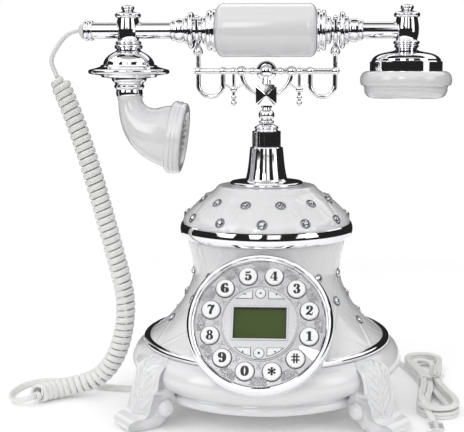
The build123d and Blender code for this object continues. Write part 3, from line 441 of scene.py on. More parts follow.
# ---- the tie and the plugs ----
tie = Heap()
tie_low, tie_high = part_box("hank_tie")
tie_mid = (tie_low + tie_high) / 2
loop_half, loop_height, loop_round = 7.95 * MM, 4.75 * MM, 2.4 * MM
loop = []
for corner_x, corner_z, first in ((1, 1, 0), (-1, 1, 90), (-1, -1, 180), (1, -1, 270)):
    for step in range(7):
        turn = radians(first + 15 * step)
        loop.append((corner_x * (loop_half - loop_round) + loop_round * cos(turn),
                     0, tie_mid.z + corner_z * (loop_height - loop_round) + loop_round * sin(turn)))
band = [(-1.0, 1), (-0.8, 1.6), (0, 1.9), (0.8, 1.6), (1.0, 1), (1.0, -1), (-1.0, -1)]
rings = []
for k, (x, _, z) in enumerate(loop):
    following = loop[(k + 1) % len(loop)]
    ahead_x, ahead_z = following[0] - loop[k - 1][0], following[2] - loop[k - 1][2]
    size = hypot(ahead_x, ahead_z)
    out_x, out_z = ahead_z / size, -ahead_x / size
    for across_y, up in band:
        rings.append((HANK_X * MM + x + out_x * up * 0.35 * MM, HANK_Y * MM + STEM_Y + across_y * 1.9 * MM,
                      max(0.1 * MM, z + out_z * up * 0.35 * MM)))
tie.add(rings, grid_faces(len(loop), len(band), closed_columns=True, closed_rows=True))
# its two ends, twisted together on top and bent over
TWIST = [(0, 0, 9.6), (1.5, -0.5, 11.6), (5, -2, 12.6), (9.5, -4, 11.4)]
twist_line, _ = along(np.array([spot(HANK_X + x, HANK_Y + y, z) for x, y, z in TWIST], float), 0.35 * MM)
twist_ahead, twist_side, twist_across = carried_frame(twist_line, (0, 1, 0))
spin = np.arange(len(twist_line)) * 0.42
wide = twist_side * np.cos(spin)[:, None] + twist_across * np.sin(spin)[:, None]
tie.add(*sweep(twist_line, wide, np.cross(twist_ahead, wide), oval(2.6 * MM, 0.9 * MM, 0.8, 10)))
hank_tie = piece("hank_twist_tie", tie.points, tie.faces, TIE_SKIN)
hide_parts("hank_tie")


def plug(name, end, ahead):
    """A clear modular plug whose cord enters at end and whose nose points ahead."""
    ahead = Vector(ahead).normalized()
    wide_dir = ahead.cross(Vector((0, 0, 1))).normalized()
    up_dir = wide_dir.cross(ahead)
    body, contacts = Heap(), Heap()
    body.block(end + ahead * 6.0 * MM, wide_dir, up_dir, ahead, (9.6 * MM, 5.6 * MM, 11.6 * MM), 0.5 * MM)
    body.block(end + ahead * 1.2 * MM - up_dir * 0.1 * MM, wide_dir, up_dir, ahead,
               (6.4 * MM, 6.4 * MM, 2.4 * MM), 0.4 * MM)
    latch = (ahead * 0.95 - up_dir * 0.16).normalized()
    body.block(end + ahead * 6.2 * MM + up_dir * 3.2 * MM, wide_dir, latch.cross(wide_dir), latch,
               (3.2 * MM, 0.9 * MM, 10.6 * MM), 0.25 * MM)
    for k in range(4):
        for forward, under, high, deep in ((9.6, 2.45, 1.0, 4.2), (11.7, 0.9, 3.6, 0.4)):
            centre = end + ahead * forward * MM - up_dir * under * MM + wide_dir * (k - 1.5) * 1.3 * MM
            contacts.block(centre, wide_dir, up_dir, ahead, (0.5 * MM, high * MM, deep * MM), 0.12 * MM)
    made = piece(name, body.points, body.faces, CLEAR, smooth=False)
    blades = piece(name + "_contacts", contacts.points, contacts.faces, GOLD, smooth=False)
    return made, blades


free_plug, free_blades = plug("line_plug_free", spot(113, -66, 3.4), (0, -1, 0))
phone_plug, phone_blades = plug("line_plug_phone", spot(34, 77.1, 8.6), (0, -1, 0))
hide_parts("line_plugs")


# ---- the quilted skins of the body and the dome ----
def smooth_outline(knots, step):
    """Points on a smooth curve through the knots, a step apart."""
    knots = np.array(knots, float)
    padded = np.vstack([2 * knots[0] - knots[1], knots, 2 * knots[-1] - knots[-2]])
    found = []
    for i in range(1, len(padded) - 2):
        p0, p1, p2, p3 = padded[i - 1:i + 3]
        for u in np.linspace(0, 1, 24, endpoint=False):
            found.append(0.5 * ((2 * p1) + (p2 - p0) * u + (2 * p0 - 5 * p1 + 4 * p2 - p3) * u * u
                                + (3 * p1 - p0 - 3 * p2 + p3) * u ** 3))
    found.append(knots[-1])
    found = np.array(found)
    run = run_along(found)
    even = np.linspace(0, run[-1], int(run[-1] / step) + 1)
    return read_at(even, run, found)


DIAL = spot(0, -82, 75)
DIAL_TILT = radians(32)
DIAL_OUT = Vector((0, -cos(DIAL_TILT), sin(DIAL_TILT)))
DIAL_UP = Vector((0, sin(DIAL_TILT), cos(DIAL_TILT)))
DIAL_RIGHT = Vector((1, 0, 0))
SKIN_TURNS = 720                 # points round a skin
RIDGE_WIDTH = 0.034              # as a share of the distance between two ridges
CELL_ANGLE = radians(30)         # twelve cushions round
RIDGE_HIGH, SUNK, CUSHION_HIGH = 0.42, 0.30, 0.55
DIAL_OPENING = 43.4 * MM         # the skins stop at the dial's collar
SKIN_WALL = 2.0 * MM


def quilted_skin(name, knots, rows, curl, node):
    """A turned shell whose surface is divided by raised ridges that cross at the stones."""
    outline = smooth_outline(knots, 0.9)
    slope = directions(outline)
    normal = np.stack([slope[:, 1], -slope[:, 0]], 1)
    heights, steps = zip(*rows)
    level = np.interp(outline[:, 1], heights, steps)
    inside = (outline[:, 1] > heights[0]) & (outline[:, 1] < heights[-1])
    fade = np.clip(np.minimum(outline[:, 1] - heights[0], heights[-1] - outline[:, 1]) / 2.0, 0, 1) * inside
    turn = np.arange(SKIN_TURNS) * 2 * pi / SKIN_TURNS
    cell = turn[None, :] / CELL_ANGLE
    bend = curl * np.sin(2 * pi * level)[:, None] / (2 * pi)
    first = cell + level[:, None] / 2 + bend
    second = cell - level[:, None] / 2 - bend
    near = np.minimum(np.abs(first - np.round(first)), np.abs(second - np.round(second)))
    pillow = np.abs(np.sin(pi * first) * np.sin(pi * second))
    lift = RIDGE_HIGH * np.exp(-(near / RIDGE_WIDTH) ** 2) - SUNK + CUSHION_HIGH * pillow ** 0.8
    lift = lift * fade[:, None]
    radius = (outline[:, 0][:, None] + normal[:, 0][:, None] * lift) * MM
    height = (outline[:, 1][:, None] + normal[:, 1][:, None] * lift) * MM
    angle = turn[None, :] + radians(FRONT)
    points = np.stack([radius * np.cos(angle), radius * np.sin(angle) + STEM_Y, height], 2)
    flat = points.reshape(-1, 3)
    apart = flat - np.array(DIAL)
    depth = apart @ np.array(DIAL_OUT)
    beside = np.linalg.norm(apart - depth[:, None] * np.array(DIAL_OUT)[None, :], axis=1)
    hidden = (beside < DIAL_OPENING) & (depth > -60 * MM) & (depth < 30 * MM)
    faces = [f for f in grid_faces(len(outline), SKIN_TURNS, closed_columns=True)
             if not (hidden[f[0]] or hidden[f[1]] or hidden[f[2]] or hidden[f[3]])]
    used = np.zeros(len(flat), bool)
    used[np.array(faces).ravel()] = True
    renumber = np.cumsum(used) - 1
    made = piece(name, flat[used], [[int(renumber[i]) for i in f] for f in faces], ENAMEL)
    wall = made.modifiers.new("wall", "SOLIDIFY")
    wall.thickness = SKIN_WALL
    wall.offset = -1
    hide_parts(node)


# outlines as (radius, height), and rows as (height, number of the row of crossings there)
BODY_OUTLINE = [(82.2, 44.6), (82.1, 48.4), (76.0, 53.2), (69.0, 59.3), (63.0, 66.4), (58.2, 73.8),
                (54.4, 81.4), (52.2, 88.6), (51.5, 95.0), (52.0, 102.0), (53.5, 109.4), (55.2, 117.4)]
BODY_ROWS = [(47.5, 0.1), (61.5, 1), (77.0, 2), (93.5, 3), (110.0, 4), (117.0, 4.4)]
DOME_OUTLINE = [(58.4, 127.4), (57.7, 130.5), (55.2, 134.0), (51.3, 138.0), (46.9, 142.0), (42.0, 145.6),
                (38.9, 147.7), (36.6, 149.4), (35.3, 150.8), (34.2, 152.0), (32.0, 152.9), (20.0, 152.9)]
DOME_ROWS = [(127.6, -0.55), (133.0, 0), (144.0, 1), (148.6, 1.5)]
quilted_skin("body_skin", BODY_OUTLINE, BODY_ROWS, 0.0, "body_shell")
quilted_skin("dome_skin", DOME_OUTLINE, DOME_ROWS, 0.5, "dome_cover")


# ---- stones ----
# each row: height, radius, degrees it looks up, degrees round from the front to its first stone
GEM_ROWS = [(144.0, 44.4, 50, 15), (133.0, 56.0, 32, 0), (93.5, 51.6, 2, 15), (77.0, 56.5, 27, 0),
            (61.5, 67.2, 41, 15)]
GEM_CLEARANCE = 52 * MM          # no stone stands nearer than this to the dial's axis
GEM_DEPTH = 90 * MM              # but farther behind the dial than this they do
GEM_SIDES = 8
# a stone's four rings of corners: radius, height over its seat, turn
GEM_RINGS = [(2.9, 0.15, 0.0), (2.9, 0.5, 0.0), (2.0, 1.3, pi / 8), (1.1, 1.7, 0.0)]
SETTING = in_mm((2.6, -0.9), (3.4, -0.6), (3.6, 0.12), (3.3, 0.55), (2.85, 0.5), (2.6, 0.1))
PRONG = in_mm((0.42, 0), (0.45, 0.3), (0.3, 0.55), (0.06, 0.65))
PRONG_REACH, PRONG_LIFT, PRONG_TURN = 2.8, 0.3, 0.4
stones, settings = Heap(), Heap()
for height, radius, looks_up, first in GEM_ROWS:
    for k in range(12):
        turn = radians(FRONT + first + 30 * k)
        tilt = radians(looks_up)
        outward = Vector((cos(turn) * cos(tilt), sin(turn) * cos(tilt), sin(tilt)))
        seat = spot(radius * cos(turn), radius * sin(turn), height)
        away = seat - DIAL
        if (away - DIAL_OUT * away.dot(DIAL_OUT)).length < GEM_CLEARANCE and away.dot(DIAL_OUT) > -GEM_DEPTH:
            continue
        start = Vector((0, 0, 1)).cross(outward)
        corners = []
        for ring_radius, ring_lift, ring_turn in GEM_RINGS:
            for s in range(GEM_SIDES):
                spin_by = ring_turn + s * pi / 4
                sideways = start * cos(spin_by) + outward.cross(start) * sin(spin_by)
                corners.append(seat + outward * ring_lift * MM + sideways * ring_radius * MM)
        facets = [tuple(reversed(range(8))), tuple(range(24, 32))]
        for s in range(GEM_SIDES):
            n = (s + 1) % GEM_SIDES
            facets += [(s, n, 8 + n, 8 + s), (8 + s, 8 + n, 16 + s), (8 + n, 16 + n, 16 + s),
                       (16 + s, 24 + n, 24 + s), (16 + s, 16 + n, 24 + n)]
        stones.add(corners, facets)
        settings.lathe(seat, outward, SETTING, 24, start, ring=True)
        for s in range(4):
            prong_at = s * pi / 2 + PRONG_TURN
            prong = start * cos(prong_at) + outward.cross(start) * sin(prong_at)
            settings.lathe(seat + prong * PRONG_REACH * MM + outward * PRONG_LIFT * MM, outward, PRONG, 8)
gem_stones = piece("stones", stones.points, stones.faces, CRYSTAL, smooth=False)
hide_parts("rhinestones")
piece("stone_settings", settings.points, settings.faces, OLD_SILVER)

# ---- feet ----
FOOT_ANGLE = 50
# outlines as (radius, height), from under the base's lip down to the surface
FOOT_OUTER = [(84.6, 43.9), (89.0, 43.7), (94.0, 42.0), (97.8, 38.6), (99.6, 34.2), (100.4, 29.0),
              (101.0, 23.6), (102.0, 18.0), (103.6, 13.0), (105.6, 9.6), (108.4, 8.0), (112.0, 7.6),
              (115.4, 7.2), (117.8, 5.4), (117.6, 2.6), (115.2, 0.9), (111.0, 0.05)]
FOOT_INNER = [(82.0, 42.0), (84.5, 40.0), (86.5, 36.0), (87.0, 31.0), (86.0, 26.0), (84.5, 21.0),
              (83.4, 16.5), (84.4, 14.0), (87.0, 10.4), (90.2, 6.0), (94.2, 2.0), (99.4, 0.05)]
SCROLL_RADIUS, SCROLL_RINGS, SCROLL_SIDES = 5.4, 25, 32
foot_outer = smooth_outline(FOOT_OUTER, 0.55)
foot_inner_raw = smooth_outline(FOOT_INNER, 0.3)
foot_rows, foot_columns = len(foot_outer), 61
foot_inner = foot_inner_raw[np.linspace(0, len(foot_inner_raw) - 1, foot_rows).astype(int)]
foot_run = run_along(foot_outer)
foot_total = foot_run[-1]
leaf_marks = [0, 1.5, 4, 8, 14, 20, 26, 31, 36, 42, 48, 55, 60, foot_total]
leaf_halves = [5.6, 8.8, 11.0, 12.6, 13.6, 14.0, 14.0, 14.0, 14.0, 14.0, 13.4, 11.8, 9.4, 6.6]
leaf_half = np.interp(foot_run, leaf_marks, leaf_halves)
foot_slope = directions(foot_outer)
foot_normal = np.stack([-foot_slope[:, 1], foot_slope[:, 0]], 1)
share = np.linspace(-1, 1, foot_columns)[None, :]
down = foot_run[:, None]
beside = share * leaf_half[:, None]
from_edge = np.minimum((1 - np.abs(share)) * leaf_half[:, None], down + 0.8)
on_leaf = np.clip((foot_total - 9 - down) / 3, 0, 1)
rim = 1.15 * np.exp(-((from_edge - 1.3) / 0.95) ** 2) - 0.6 * np.exp(-((from_edge - 3.3) / 0.7) ** 2)
# the shoe: a raised lip that starts at the scrolls on both sides and meets across the toe
lip_at = 46.0 - 17.0 * np.abs(share) ** 2.2
lip = 1.9 * np.exp(-((down - lip_at) / 1.25) ** 2) - 0.9 * np.exp(-((down - lip_at + 2.6) / 1.0) ** 2)
toe_rim = lip + 1.5 * np.clip((down - lip_at) / 3, 0, 1) * np.clip((foot_total - 8 - down) / 6, 0, 1)
rib = 0.75 * np.exp(-(beside / 0.8) ** 2) * np.clip((down - 3) / 3, 0, 1) * np.clip((46 - down) / 4, 0, 1)
vein_phase = (down + 0.75 * np.abs(beside) * 1.3) / 6.4
lobes = np.abs(np.sin(pi * vein_phase)) ** 0.55 - 0.62
on_blade = np.clip((np.abs(beside) - 1.1) / 1.2, 0, 1) * np.clip((from_edge - 3.4) / 1.6, 0, 1)
blade = 1.5 * lobes * on_blade * np.clip((45 - down) / 4, 0, 1)
relief = (rim + blade + rib) * on_leaf * np.clip((lip_at - 1 - down) / 1.5, 0, 1) + toe_rim
for centre_run, size in ((19.0, 3.2), (33.5, 2.2)):      # two small flowers down the leaf's middle
    away = np.hypot(down - centre_run, beside)
    round_it = np.arctan2(beside, down - centre_run)
    petals = np.exp(-((away - size) / (size * 0.55)) ** 2) * (0.45 + 0.55 * np.cos(5 * round_it))
    kept = np.clip((away - size * 1.3) / size, 0.12, 1)
    relief = relief * kept + 1.1 * petals + 1.0 * np.exp(-(away / (size * 0.34)) ** 2)
relief -= 2.4 * np.abs(share) ** 3 * np.clip(down / 6, 0, 1) * np.clip((36 - down) / 12, 0, 1)
relief += 1.3 * (1 - share ** 2) * np.exp(-((down - 24) / 12) ** 2)             # the leaf's full middle
outer_r = foot_outer[:, 0][:, None] + foot_normal[:, 0][:, None] * relief
outer_z = foot_outer[:, 1][:, None] + foot_normal[:, 1][:, None] * relief
inner_half = np.interp(np.linspace(0, 1, foot_rows), [0, 0.2, 0.5, 0.75, 1], [3.2, 9.5, 12.0, 10.8, 9.0])
inner_r = np.repeat(foot_inner[:, 0][:, None], foot_columns, 1)
inner_z = np.repeat(foot_inner[:, 1][:, None], foot_columns, 1)
inner_side = share * inner_half[:, None]
loop_r = np.vstack([outer_r, inner_r[::-1]])
loop_z = np.maximum(np.vstack([outer_z, inner_z[::-1]]), 0.03)
loop_side = np.vstack([beside, inner_side[::-1]])
foot_loop = grid_faces(2 * foot_rows, foot_columns, closed_rows=True)
foot_sides = []
for row in range(foot_rows - 1):
    facing = 2 * foot_rows - 1 - row
    for column, flip in ((0, True), (foot_columns - 1, False)):
        quad = [r * foot_columns + column for r in (row, row + 1, facing - 1, facing)]
        foot_sides.append(tuple(reversed(quad)) if flip else tuple(quad))
feet = Heap()
for front in (-90, 90):
    for hand in (-1, 1):
        turn = radians(front + hand * FOOT_ANGLE)
        outward = np.array([cos(turn), sin(turn)])
        sideways = np.array([-outward[1], outward[0]])
        x = loop_r * outward[0] + loop_side * sideways[0]
        y = loop_r * outward[1] + loop_side * sideways[1]
        points = np.stack([x * MM, y * MM + STEM_Y, loop_z * MM], 2).reshape(-1, 3)
        feet.add(points, foot_loop + foot_sides)
        for hand_side in (-1, 1):                       # the scrolls at both ends of the shoe's lip
            centre = spot(*(outward * 92.4 + sideways * hand_side * 13.0), 13.8)
            ball = []
            for i in range(SCROLL_RINGS):
                lat = pi * i / (SCROLL_RINGS - 1)
                for j in range(SCROLL_SIDES):
                    lon = 2 * pi * j / SCROLL_SIDES
                    spiral = (lon / (2 * pi) + lat * 0.9) * 2.2 % 1
                    size = SCROLL_RADIUS * (1 - 0.10 * exp(-(spiral - 0.5) ** 2 / 0.02))
                    ball.append(centre + Vector((*(outward * cos(lon) * sin(lat) * size * 1.05
                                                   + sideways * cos(lat) * size * 0.95), 0)) * MM
                                + Vector((0, 0, sin(lon) * sin(lat) * size * 1.1 * MM)))
            feet.add(ball, grid_faces(SCROLL_RINGS, SCROLL_SIDES, closed_columns=True))
feet_piece = piece("claw_feet", feet.points, feet.faces, ENAMEL)
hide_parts("feet")


# ---- the dial ----
def dial_spot(right, up, out):
    """A place on the dial, in millimetres from its centre."""
    return DIAL + DIAL_RIGHT * right * MM + DIAL_UP * up * MM + DIAL_OUT * out * MM


PLATE_TOP = -1.4
KEY_RING = 32.3                  # the radius the twelve round keys stand at
KEY_TOP = 0.6
KEY_CLEARANCE = 6.4
PANEL_INNER, PANEL_OUTER, PANEL_MIDDLE = 34.2, 40.3, 37
PANEL_HALF = 8.6                 # degrees
PANEL_ROWS, PANEL_COLUMNS = 34, 56
CELLS = 120                      # pebbles in a panel's texture
BEADS = ((27.6, 0, 0.85), (26.2, 2.4, 0.5), (26.2, -2.4, 0.5), (29.0, 2.2, 0.5), (29.0, -2.2, 0.5))
relief_heap = Heap()
for k in range(11):                                      # the finger stop lies in the twelfth place
    middle_angle = 30.0 * k
    rows, columns = PANEL_ROWS, PANEL_COLUMNS
    radii = np.linspace(PANEL_INNER, PANEL_OUTER, rows)
    angles = np.radians(middle_angle + np.linspace(-PANEL_HALF, PANEL_HALF, columns))
    x = radii[:, None] * np.cos(angles)[None, :]
    y = radii[:, None] * np.sin(angles)[None, :]
    seeds = noise.uniform(0, 1, (CELLS, 2))
    seed_r = 34.0 + 6.6 * seeds[:, 0]
    seed_a = np.radians(middle_angle - 9 + 18 * seeds[:, 1])
    away = np.sqrt((x[..., None] - seed_r * np.cos(seed_a)) ** 2
                   + (y[..., None] - seed_r * np.sin(seed_a)) ** 2)
    away.sort(axis=2)
    height = 0.85 * np.clip((away[..., 1] - away[..., 0]) / 0.5, 0, 1) ** 0.7
    from_rims = np.minimum(radii - PANEL_INNER, PANEL_OUTER - radii)[:, None] / 0.5
    from_middle = np.abs(angles - radians(middle_angle))
    from_ends = (radians(PANEL_HALF) - from_middle)[None, :] * PANEL_MIDDLE / 0.6
    edge = np.clip(np.minimum(from_rims, from_ends), 0, 1)
    key_gap = np.full_like(x, 9.0)
    for other in (-15, 15):
        key_at = radians(middle_angle + other)
        from_key = np.hypot(x - KEY_RING * cos(key_at), y - KEY_RING * sin(key_at))
        key_gap = np.minimum(key_gap, from_key - KEY_CLEARANCE)
    height = height * edge * np.clip(key_gap / 0.4, 0, 1)
    top = [dial_spot(a, b, PLATE_TOP - 0.15 + c) for a, b, c in zip(x.ravel(), y.ravel(), height.ravel())]
    bottom = [dial_spot(a, b, PLATE_TOP - 0.6) for a, b in zip(x.ravel(), y.ravel())]
    shell = grid_faces(rows, columns)
    count = rows * columns
    shell += [tuple(count + i for i in reversed(f)) for f in grid_faces(rows, columns)]
    border = [(0, j) for j in range(columns)] + [(i, columns - 1) for i in range(1, rows)]
    border += [(rows - 1, j) for j in range(columns - 2, -1, -1)] + [(i, 0) for i in range(rows - 2, 0, -1)]
    border = [i * columns + j for i, j in border]
    for a, b in zip(border, border[1:] + border[:1]):
        shell.append((b, a, count + a, count + b))
    relief_heap.add(top + bottom, shell)
    for bead_ring, bead_angle, size in BEADS:
        a = radians(middle_angle + bead_angle)
        seat = dial_spot(bead_ring * cos(a), bead_ring * sin(a), PLATE_TOP - 0.1)
        bead = in_mm((size, 0), (size * 0.92, 0.25), (size * 0.6, 0.5), (size * 0.15, 0.6))
        relief_heap.lathe(seat, DIAL_OUT, bead, 12)
for ring_r in (24.6, 41.0):                              # raised rims along the plate's two edges
    rim_outline = in_mm((ring_r - 0.35, -0.3), (ring_r - 0.3, 0.1), (ring_r, 0.3), (ring_r + 0.3, 0.1),
                        (ring_r + 0.35, -0.3))
    relief_heap.lathe(dial_spot(0, 0, PLATE_TOP), DIAL_OUT, rim_outline, 160, ring=True)
piece("dial_relief", relief_heap.points, relief_heap.faces, SILVER)

# the digits: a pen that is broad in upright strokes and fine in level ones
BROAD, FINE = 0.32, 0.10


def pen_line(knots, broad, fine):
    """A stroke along the knots, as a row of four-sided shapes."""
    if len(knots) > 2:
        line = smooth_outline(knots, 0.02)
    else:
        first, last = np.array(knots, float)
        line = np.array([first + (last - first) * s for s in (0, 0.5, 1)])
    ahead = directions(line)
    width = fine + (broad - fine) * np.abs(ahead[:, 1]) ** 1.8
    normal = np.stack([-ahead[:, 1], ahead[:, 0]], 1)
    left, right = line + normal * width[:, None] / 2, line - normal * width[:, None] / 2
    return [(left[i], left[i + 1], right[i + 1], right[i]) for i in range(len(line) - 1)]


def disc(x, y, radius):
    turns = np.linspace(0, 2 * pi, 19)[:-1]
    return [[(x + radius * cos(a), y + radius * sin(a)) for a in turns]]


def bar(x0, y0, x1, y1):
    return [[(x0, y0), (x1, y0), (x1, y1), (x0, y1)]]


def ring_shape(x, y, wide, tall):
    """Points round an upright oval, for the pen."""
    return [(x + wide * cos(a), y + tall * sin(a)) for a in np.linspace(0, 2 * pi, 33)]


SIX = pen_line([(0.16, 0.86), (0.06, 0.95), (-0.08, 0.9), (-0.2, 0.72), (-0.23, 0.48), (-0.18, 0.2),
                (-0.02, 0.04), (0.14, 0.1), (0.2, 0.27), (0.14, 0.46), (0.0, 0.52), (-0.1, 0.46)],
               BROAD, FINE) + disc(0.17, 0.8, 0.105)
# strokes on a digit one unit high
GLYPHS = {
    "zero": pen_line(ring_shape(0, 0.5, 0.22, 0.45), BROAD * 0.9, FINE),
    "one": pen_line([(0.02, 0.03), (0.02, 0.97)], 0.26, 0.26) + bar(-0.24, 0, 0.28, 0.075)
           + pen_line([(0.0, 0.93), (-0.1, 0.84), (-0.24, 0.8)], 0.14, 0.12),
    "two": pen_line([(-0.2, 0.74), (-0.14, 0.9), (0.02, 0.95), (0.17, 0.84), (0.18, 0.64), (0.04, 0.42),
                     (-0.16, 0.2), (-0.26, 0.04)], 0.24, FINE) + disc(-0.16, 0.71, 0.125)
           + pen_line([(-0.24, 0.09), (-0.08, 0.17), (0.1, 0.09), (0.24, 0.1)], 0.16, 0.17)
           + pen_line([(0.24, 0.1), (0.29, 0.32)], 0.06, 0.06),
    "three": pen_line([(-0.2, 0.8), (-0.08, 0.94), (0.08, 0.93), (0.17, 0.76), (0.08, 0.58),
                       (-0.06, 0.53)], 0.25, FINE)
             + pen_line([(-0.06, 0.53), (0.1, 0.5), (0.2, 0.3), (0.12, 0.1), (-0.04, 0.04),
                         (-0.2, 0.14)], 0.28, FINE)
             + disc(-0.17, 0.76, 0.11) + disc(-0.17, 0.22, 0.125),
    "four": pen_line([(0.1, 0.03), (0.1, 0.97)], 0.25, 0.25)
            + pen_line([(0.03, 0.97), (-0.32, 0.3)], 0.08, 0.08)
            + bar(-0.34, 0.24, 0.34, 0.33) + bar(-0.1, 0, 0.3, 0.07),
    "five": pen_line([(-0.2, 0.9), (-0.02, 0.84), (0.2, 0.93)], 0.17, 0.17)
            + pen_line([(-0.2, 0.94), (-0.2, 0.5)], 0.07, 0.07)
            + pen_line([(-0.2, 0.5), (-0.04, 0.6), (0.12, 0.54), (0.2, 0.32), (0.1, 0.1), (-0.05, 0.04),
                        (-0.2, 0.14)], 0.28, FINE) + disc(-0.16, 0.21, 0.12),
    "six": SIX,
    "seven": pen_line([(-0.26, 0.86), (-0.08, 0.91), (0.08, 0.83), (0.27, 0.92)], 0.16, 0.18)
             + pen_line([(-0.26, 0.95), (-0.28, 0.66)], 0.06, 0.06)
             + pen_line([(0.25, 0.92), (0.1, 0.62), (0.0, 0.34), (-0.03, 0.05)], 0.25, 0.1)
             + disc(-0.03, 0.1, 0.13),
    "eight": pen_line(ring_shape(0, 0.74, 0.16, 0.2), 0.2, FINE)
             + pen_line(ring_shape(0, 0.27, 0.2, 0.23), 0.25, FINE),
    "nine": [[(-x, 1 - y) for x, y in shape] for shape in SIX],
    "hash": bar(-0.19, 0.02, -0.05, 0.98) + bar(0.05, 0.02, 0.19, 0.98) + bar(-0.36, 0.27, 0.36, 0.40)
            + bar(-0.36, 0.60, 0.36, 0.73),
    "star": sum((pen_line([(0, 0.5), (0.19 * cos(a), 0.5 + 0.23 * sin(a))], 0.14, 0.14)
                 + disc(0.27 * cos(a), 0.5 + 0.31 * sin(a), 0.11)
                 for a in np.radians(np.arange(30, 390, 60))), []),
}
# the round keys, anticlockwise from the one just above three o'clock
KEYS = ["two", "three", "four", "five", "six", "seven", "eight", "nine", "zero", "star", "hash", "one"]
DIGIT_HIGH, DIGIT_STRETCH = 6.4, 1.12


def print_and_painted_shade(name, shapes, right, up, size, body, out=KEY_TOP, stretch=1.0):
    """Flat shapes as a thin raised black layer on a key or on the dial: print on the keys, and a painted
    shadow line in the display's window.
    """
    heap = Heap()
    for shape in shapes:
        count = len(shape)
        low = [dial_spot(right + x * size * stretch, up + (y - 0.5) * size, out - 0.05) for x, y in shape]
        high = [dial_spot(right + x * size * stretch, up + (y - 0.5) * size, out + 0.07) for x, y in shape]
        faces = [tuple(range(count, 2 * count)), tuple(reversed(range(count)))]
        faces += [(i, (i + 1) % count, count + (i + 1) % count, count + i) for i in range(count)]
        heap.add(low + high, faces)
    return piece(name, heap.points, heap.faces, BLACK, body=body, smooth=False)


def key_place(number):
    """How far right and up of the dial's centre a round key stands."""
    turn = radians(15 + 30 * number)
    return KEY_RING * cos(turn), KEY_RING * sin(turn)


for number, name in enumerate(KEYS):
    print_and_painted_shade(f"print_{name}", GLYPHS[name], *key_place(number), DIGIT_HIGH, f"key_{name}_body",
            stretch=DIGIT_STRETCH)

# the shadow line inside the display's window
DISPLAY_SHADOW_LINE = (bar(-16.7, 9.9, 16.7, 10.7) + bar(-16.7, -9.7, -16.15, 9.9)
                + bar(16.15, -9.7, 16.7, 9.9) + bar(-16.15, -9.7, 16.15, -9.4))
print_and_painted_shade("display_painted_shadow_line", DISPLAY_SHADOW_LINE, 0, 0, 1.0, "root", out=-1.96)

# painted shade: a thin black ring on the plate at the edge of each round key's hole, standing for the dark
# gap round the key
GAP_SHADE_OUTLINE = in_mm((5.95, -0.05), (5.95, 0.07), (6.3, 0.07), (6.35, -0.05))
gap_shade_rings = Heap()
for number in range(len(KEYS)):
    gap_shade_rings.lathe(dial_spot(*key_place(number), PLATE_TOP), DIAL_OUT, GAP_SHADE_OUTLINE, 48, ring=True)
piece("key_wells", gap_shade_rings.points, gap_shade_rings.faces, BLACK_PARTS_AND_SHADE)

MARK_HIGH, FUNCTION_KEY_TOP = 1.9, 0.2
UP_MARK = [[(-0.4, 0.2), (0.4, 0.2), (0, 0.9)]]
DOWN_MARK = [[(-0.4, 0.8), (0, 0.1), (0.4, 0.8)]]
FUNCTION_MARKS = {
    "upper_left": bar(-0.6, 0.3, 0.6, 0.42) + bar(-0.6, 0.6, 0.6, 0.72),
    "upper_middle": disc(0, 0.5, 0.34),
    "upper_right": bar(-0.5, 0.42, 0.5, 0.58) + bar(-0.08, 0.0, 0.08, 1.0),
    "lower_left": UP_MARK,
    "lower_middle": bar(-0.36, 0.14, 0.36, 0.86),
    "lower_right": DOWN_MARK,
}
for place, shapes in FUNCTION_MARKS.items():
    low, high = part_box(f"key_{place}")
    centre = (low + high) / 2 - DIAL
    print_and_painted_shade(f"print_{place}", shapes, centre.x / MM, centre.dot(DIAL_UP) / MM, MARK_HIGH, f"key_{place}_body",
            out=FUNCTION_KEY_TOP)


# ---- sound holes in the two caps, drawn as black discs of painted shade ----
MOUTH_TILT = radians(7.6)
# each cap: a point and its axis, then rings of holes as (radius, count, how far out the face is there)
CAPS = [
    (spot(-95.2 + 27.4, 0, 186.3), Vector((cos(MOUTH_TILT), 0, -sin(MOUTH_TILT))),
     ((0, 1, 8.45), (4.6, 6, 8.66), (9.2, 12, 8.87), (13.6, 18, 9.07))),
    (spot(95.2, 0, 216.4), Vector((0, 0, -1)),
     ((0, 1, 0.05), (4.6, 6, 0.28), (9.2, 12, 0.51), (13.8, 18, 0.74))),
]
# the holes are not cut: each is a small black disc a little proud of the cap's face, painted shade for the
# hole's dark inside
HOLE_SHADE_OUTLINE = in_mm((1.05, -0.3), (1.05, 0.0), (0.9, 0.06))
hole_shades = Heap()
for face, axis, hole_rings in CAPS:
    across_dir = Vector((0, 1, 0))
    for ring_radius, count, rise in hole_rings:
        for k in range(count):
            turn = 2 * pi * k / count
            sideways = across_dir * cos(turn) + axis.cross(across_dir) * sin(turn)
            hole_shades.lathe(face + axis * rise * MM + sideways * ring_radius * MM, axis, HOLE_SHADE_OUTLINE, 14)
piece("sound_hole_painted_shade", hole_shades.points, hole_shades.faces, BLACK_PARTS_AND_SHADE, body="handset", smooth=False)


# ---- studio ----
# ranges of the direction looked in where the studio is dark: x, y and z, each from and to
DARK_PANELS = [
    (-0.66, -0.32, -1.1, -0.05, -1.1, 0.62), (0.34, 0.66, -1.1, -0.05, -1.1, 0.62),
    (-0.12, 0.07, -1.1, -0.2, 0.0, 0.56), (-1.1, 1.1, -1.1, 1.1, -1.1, 0.10),
    (-1.1, -0.86, -1.1, 1.1, -1.1, 0.48), (0.88, 1.1, -1.1, 1.1, -1.1, 0.48),
    (-1.1, 1.1, 0.30, 1.1, -1.1, 0.48), (-0.5, 0.5, 0.06, 0.50, 0.82, 1.1),
]
PANEL_SOFT = 0.015
OVERHEAD_FROM, OVERHEAD_SOFT, OVERHEAD_DARK = 0.91, 0.03, 0.62      # a grey patch hangs overhead
STUDIO_BRIGHT, STUDIO_DARK, BACKDROP = 1.28, 0.02, 1.0


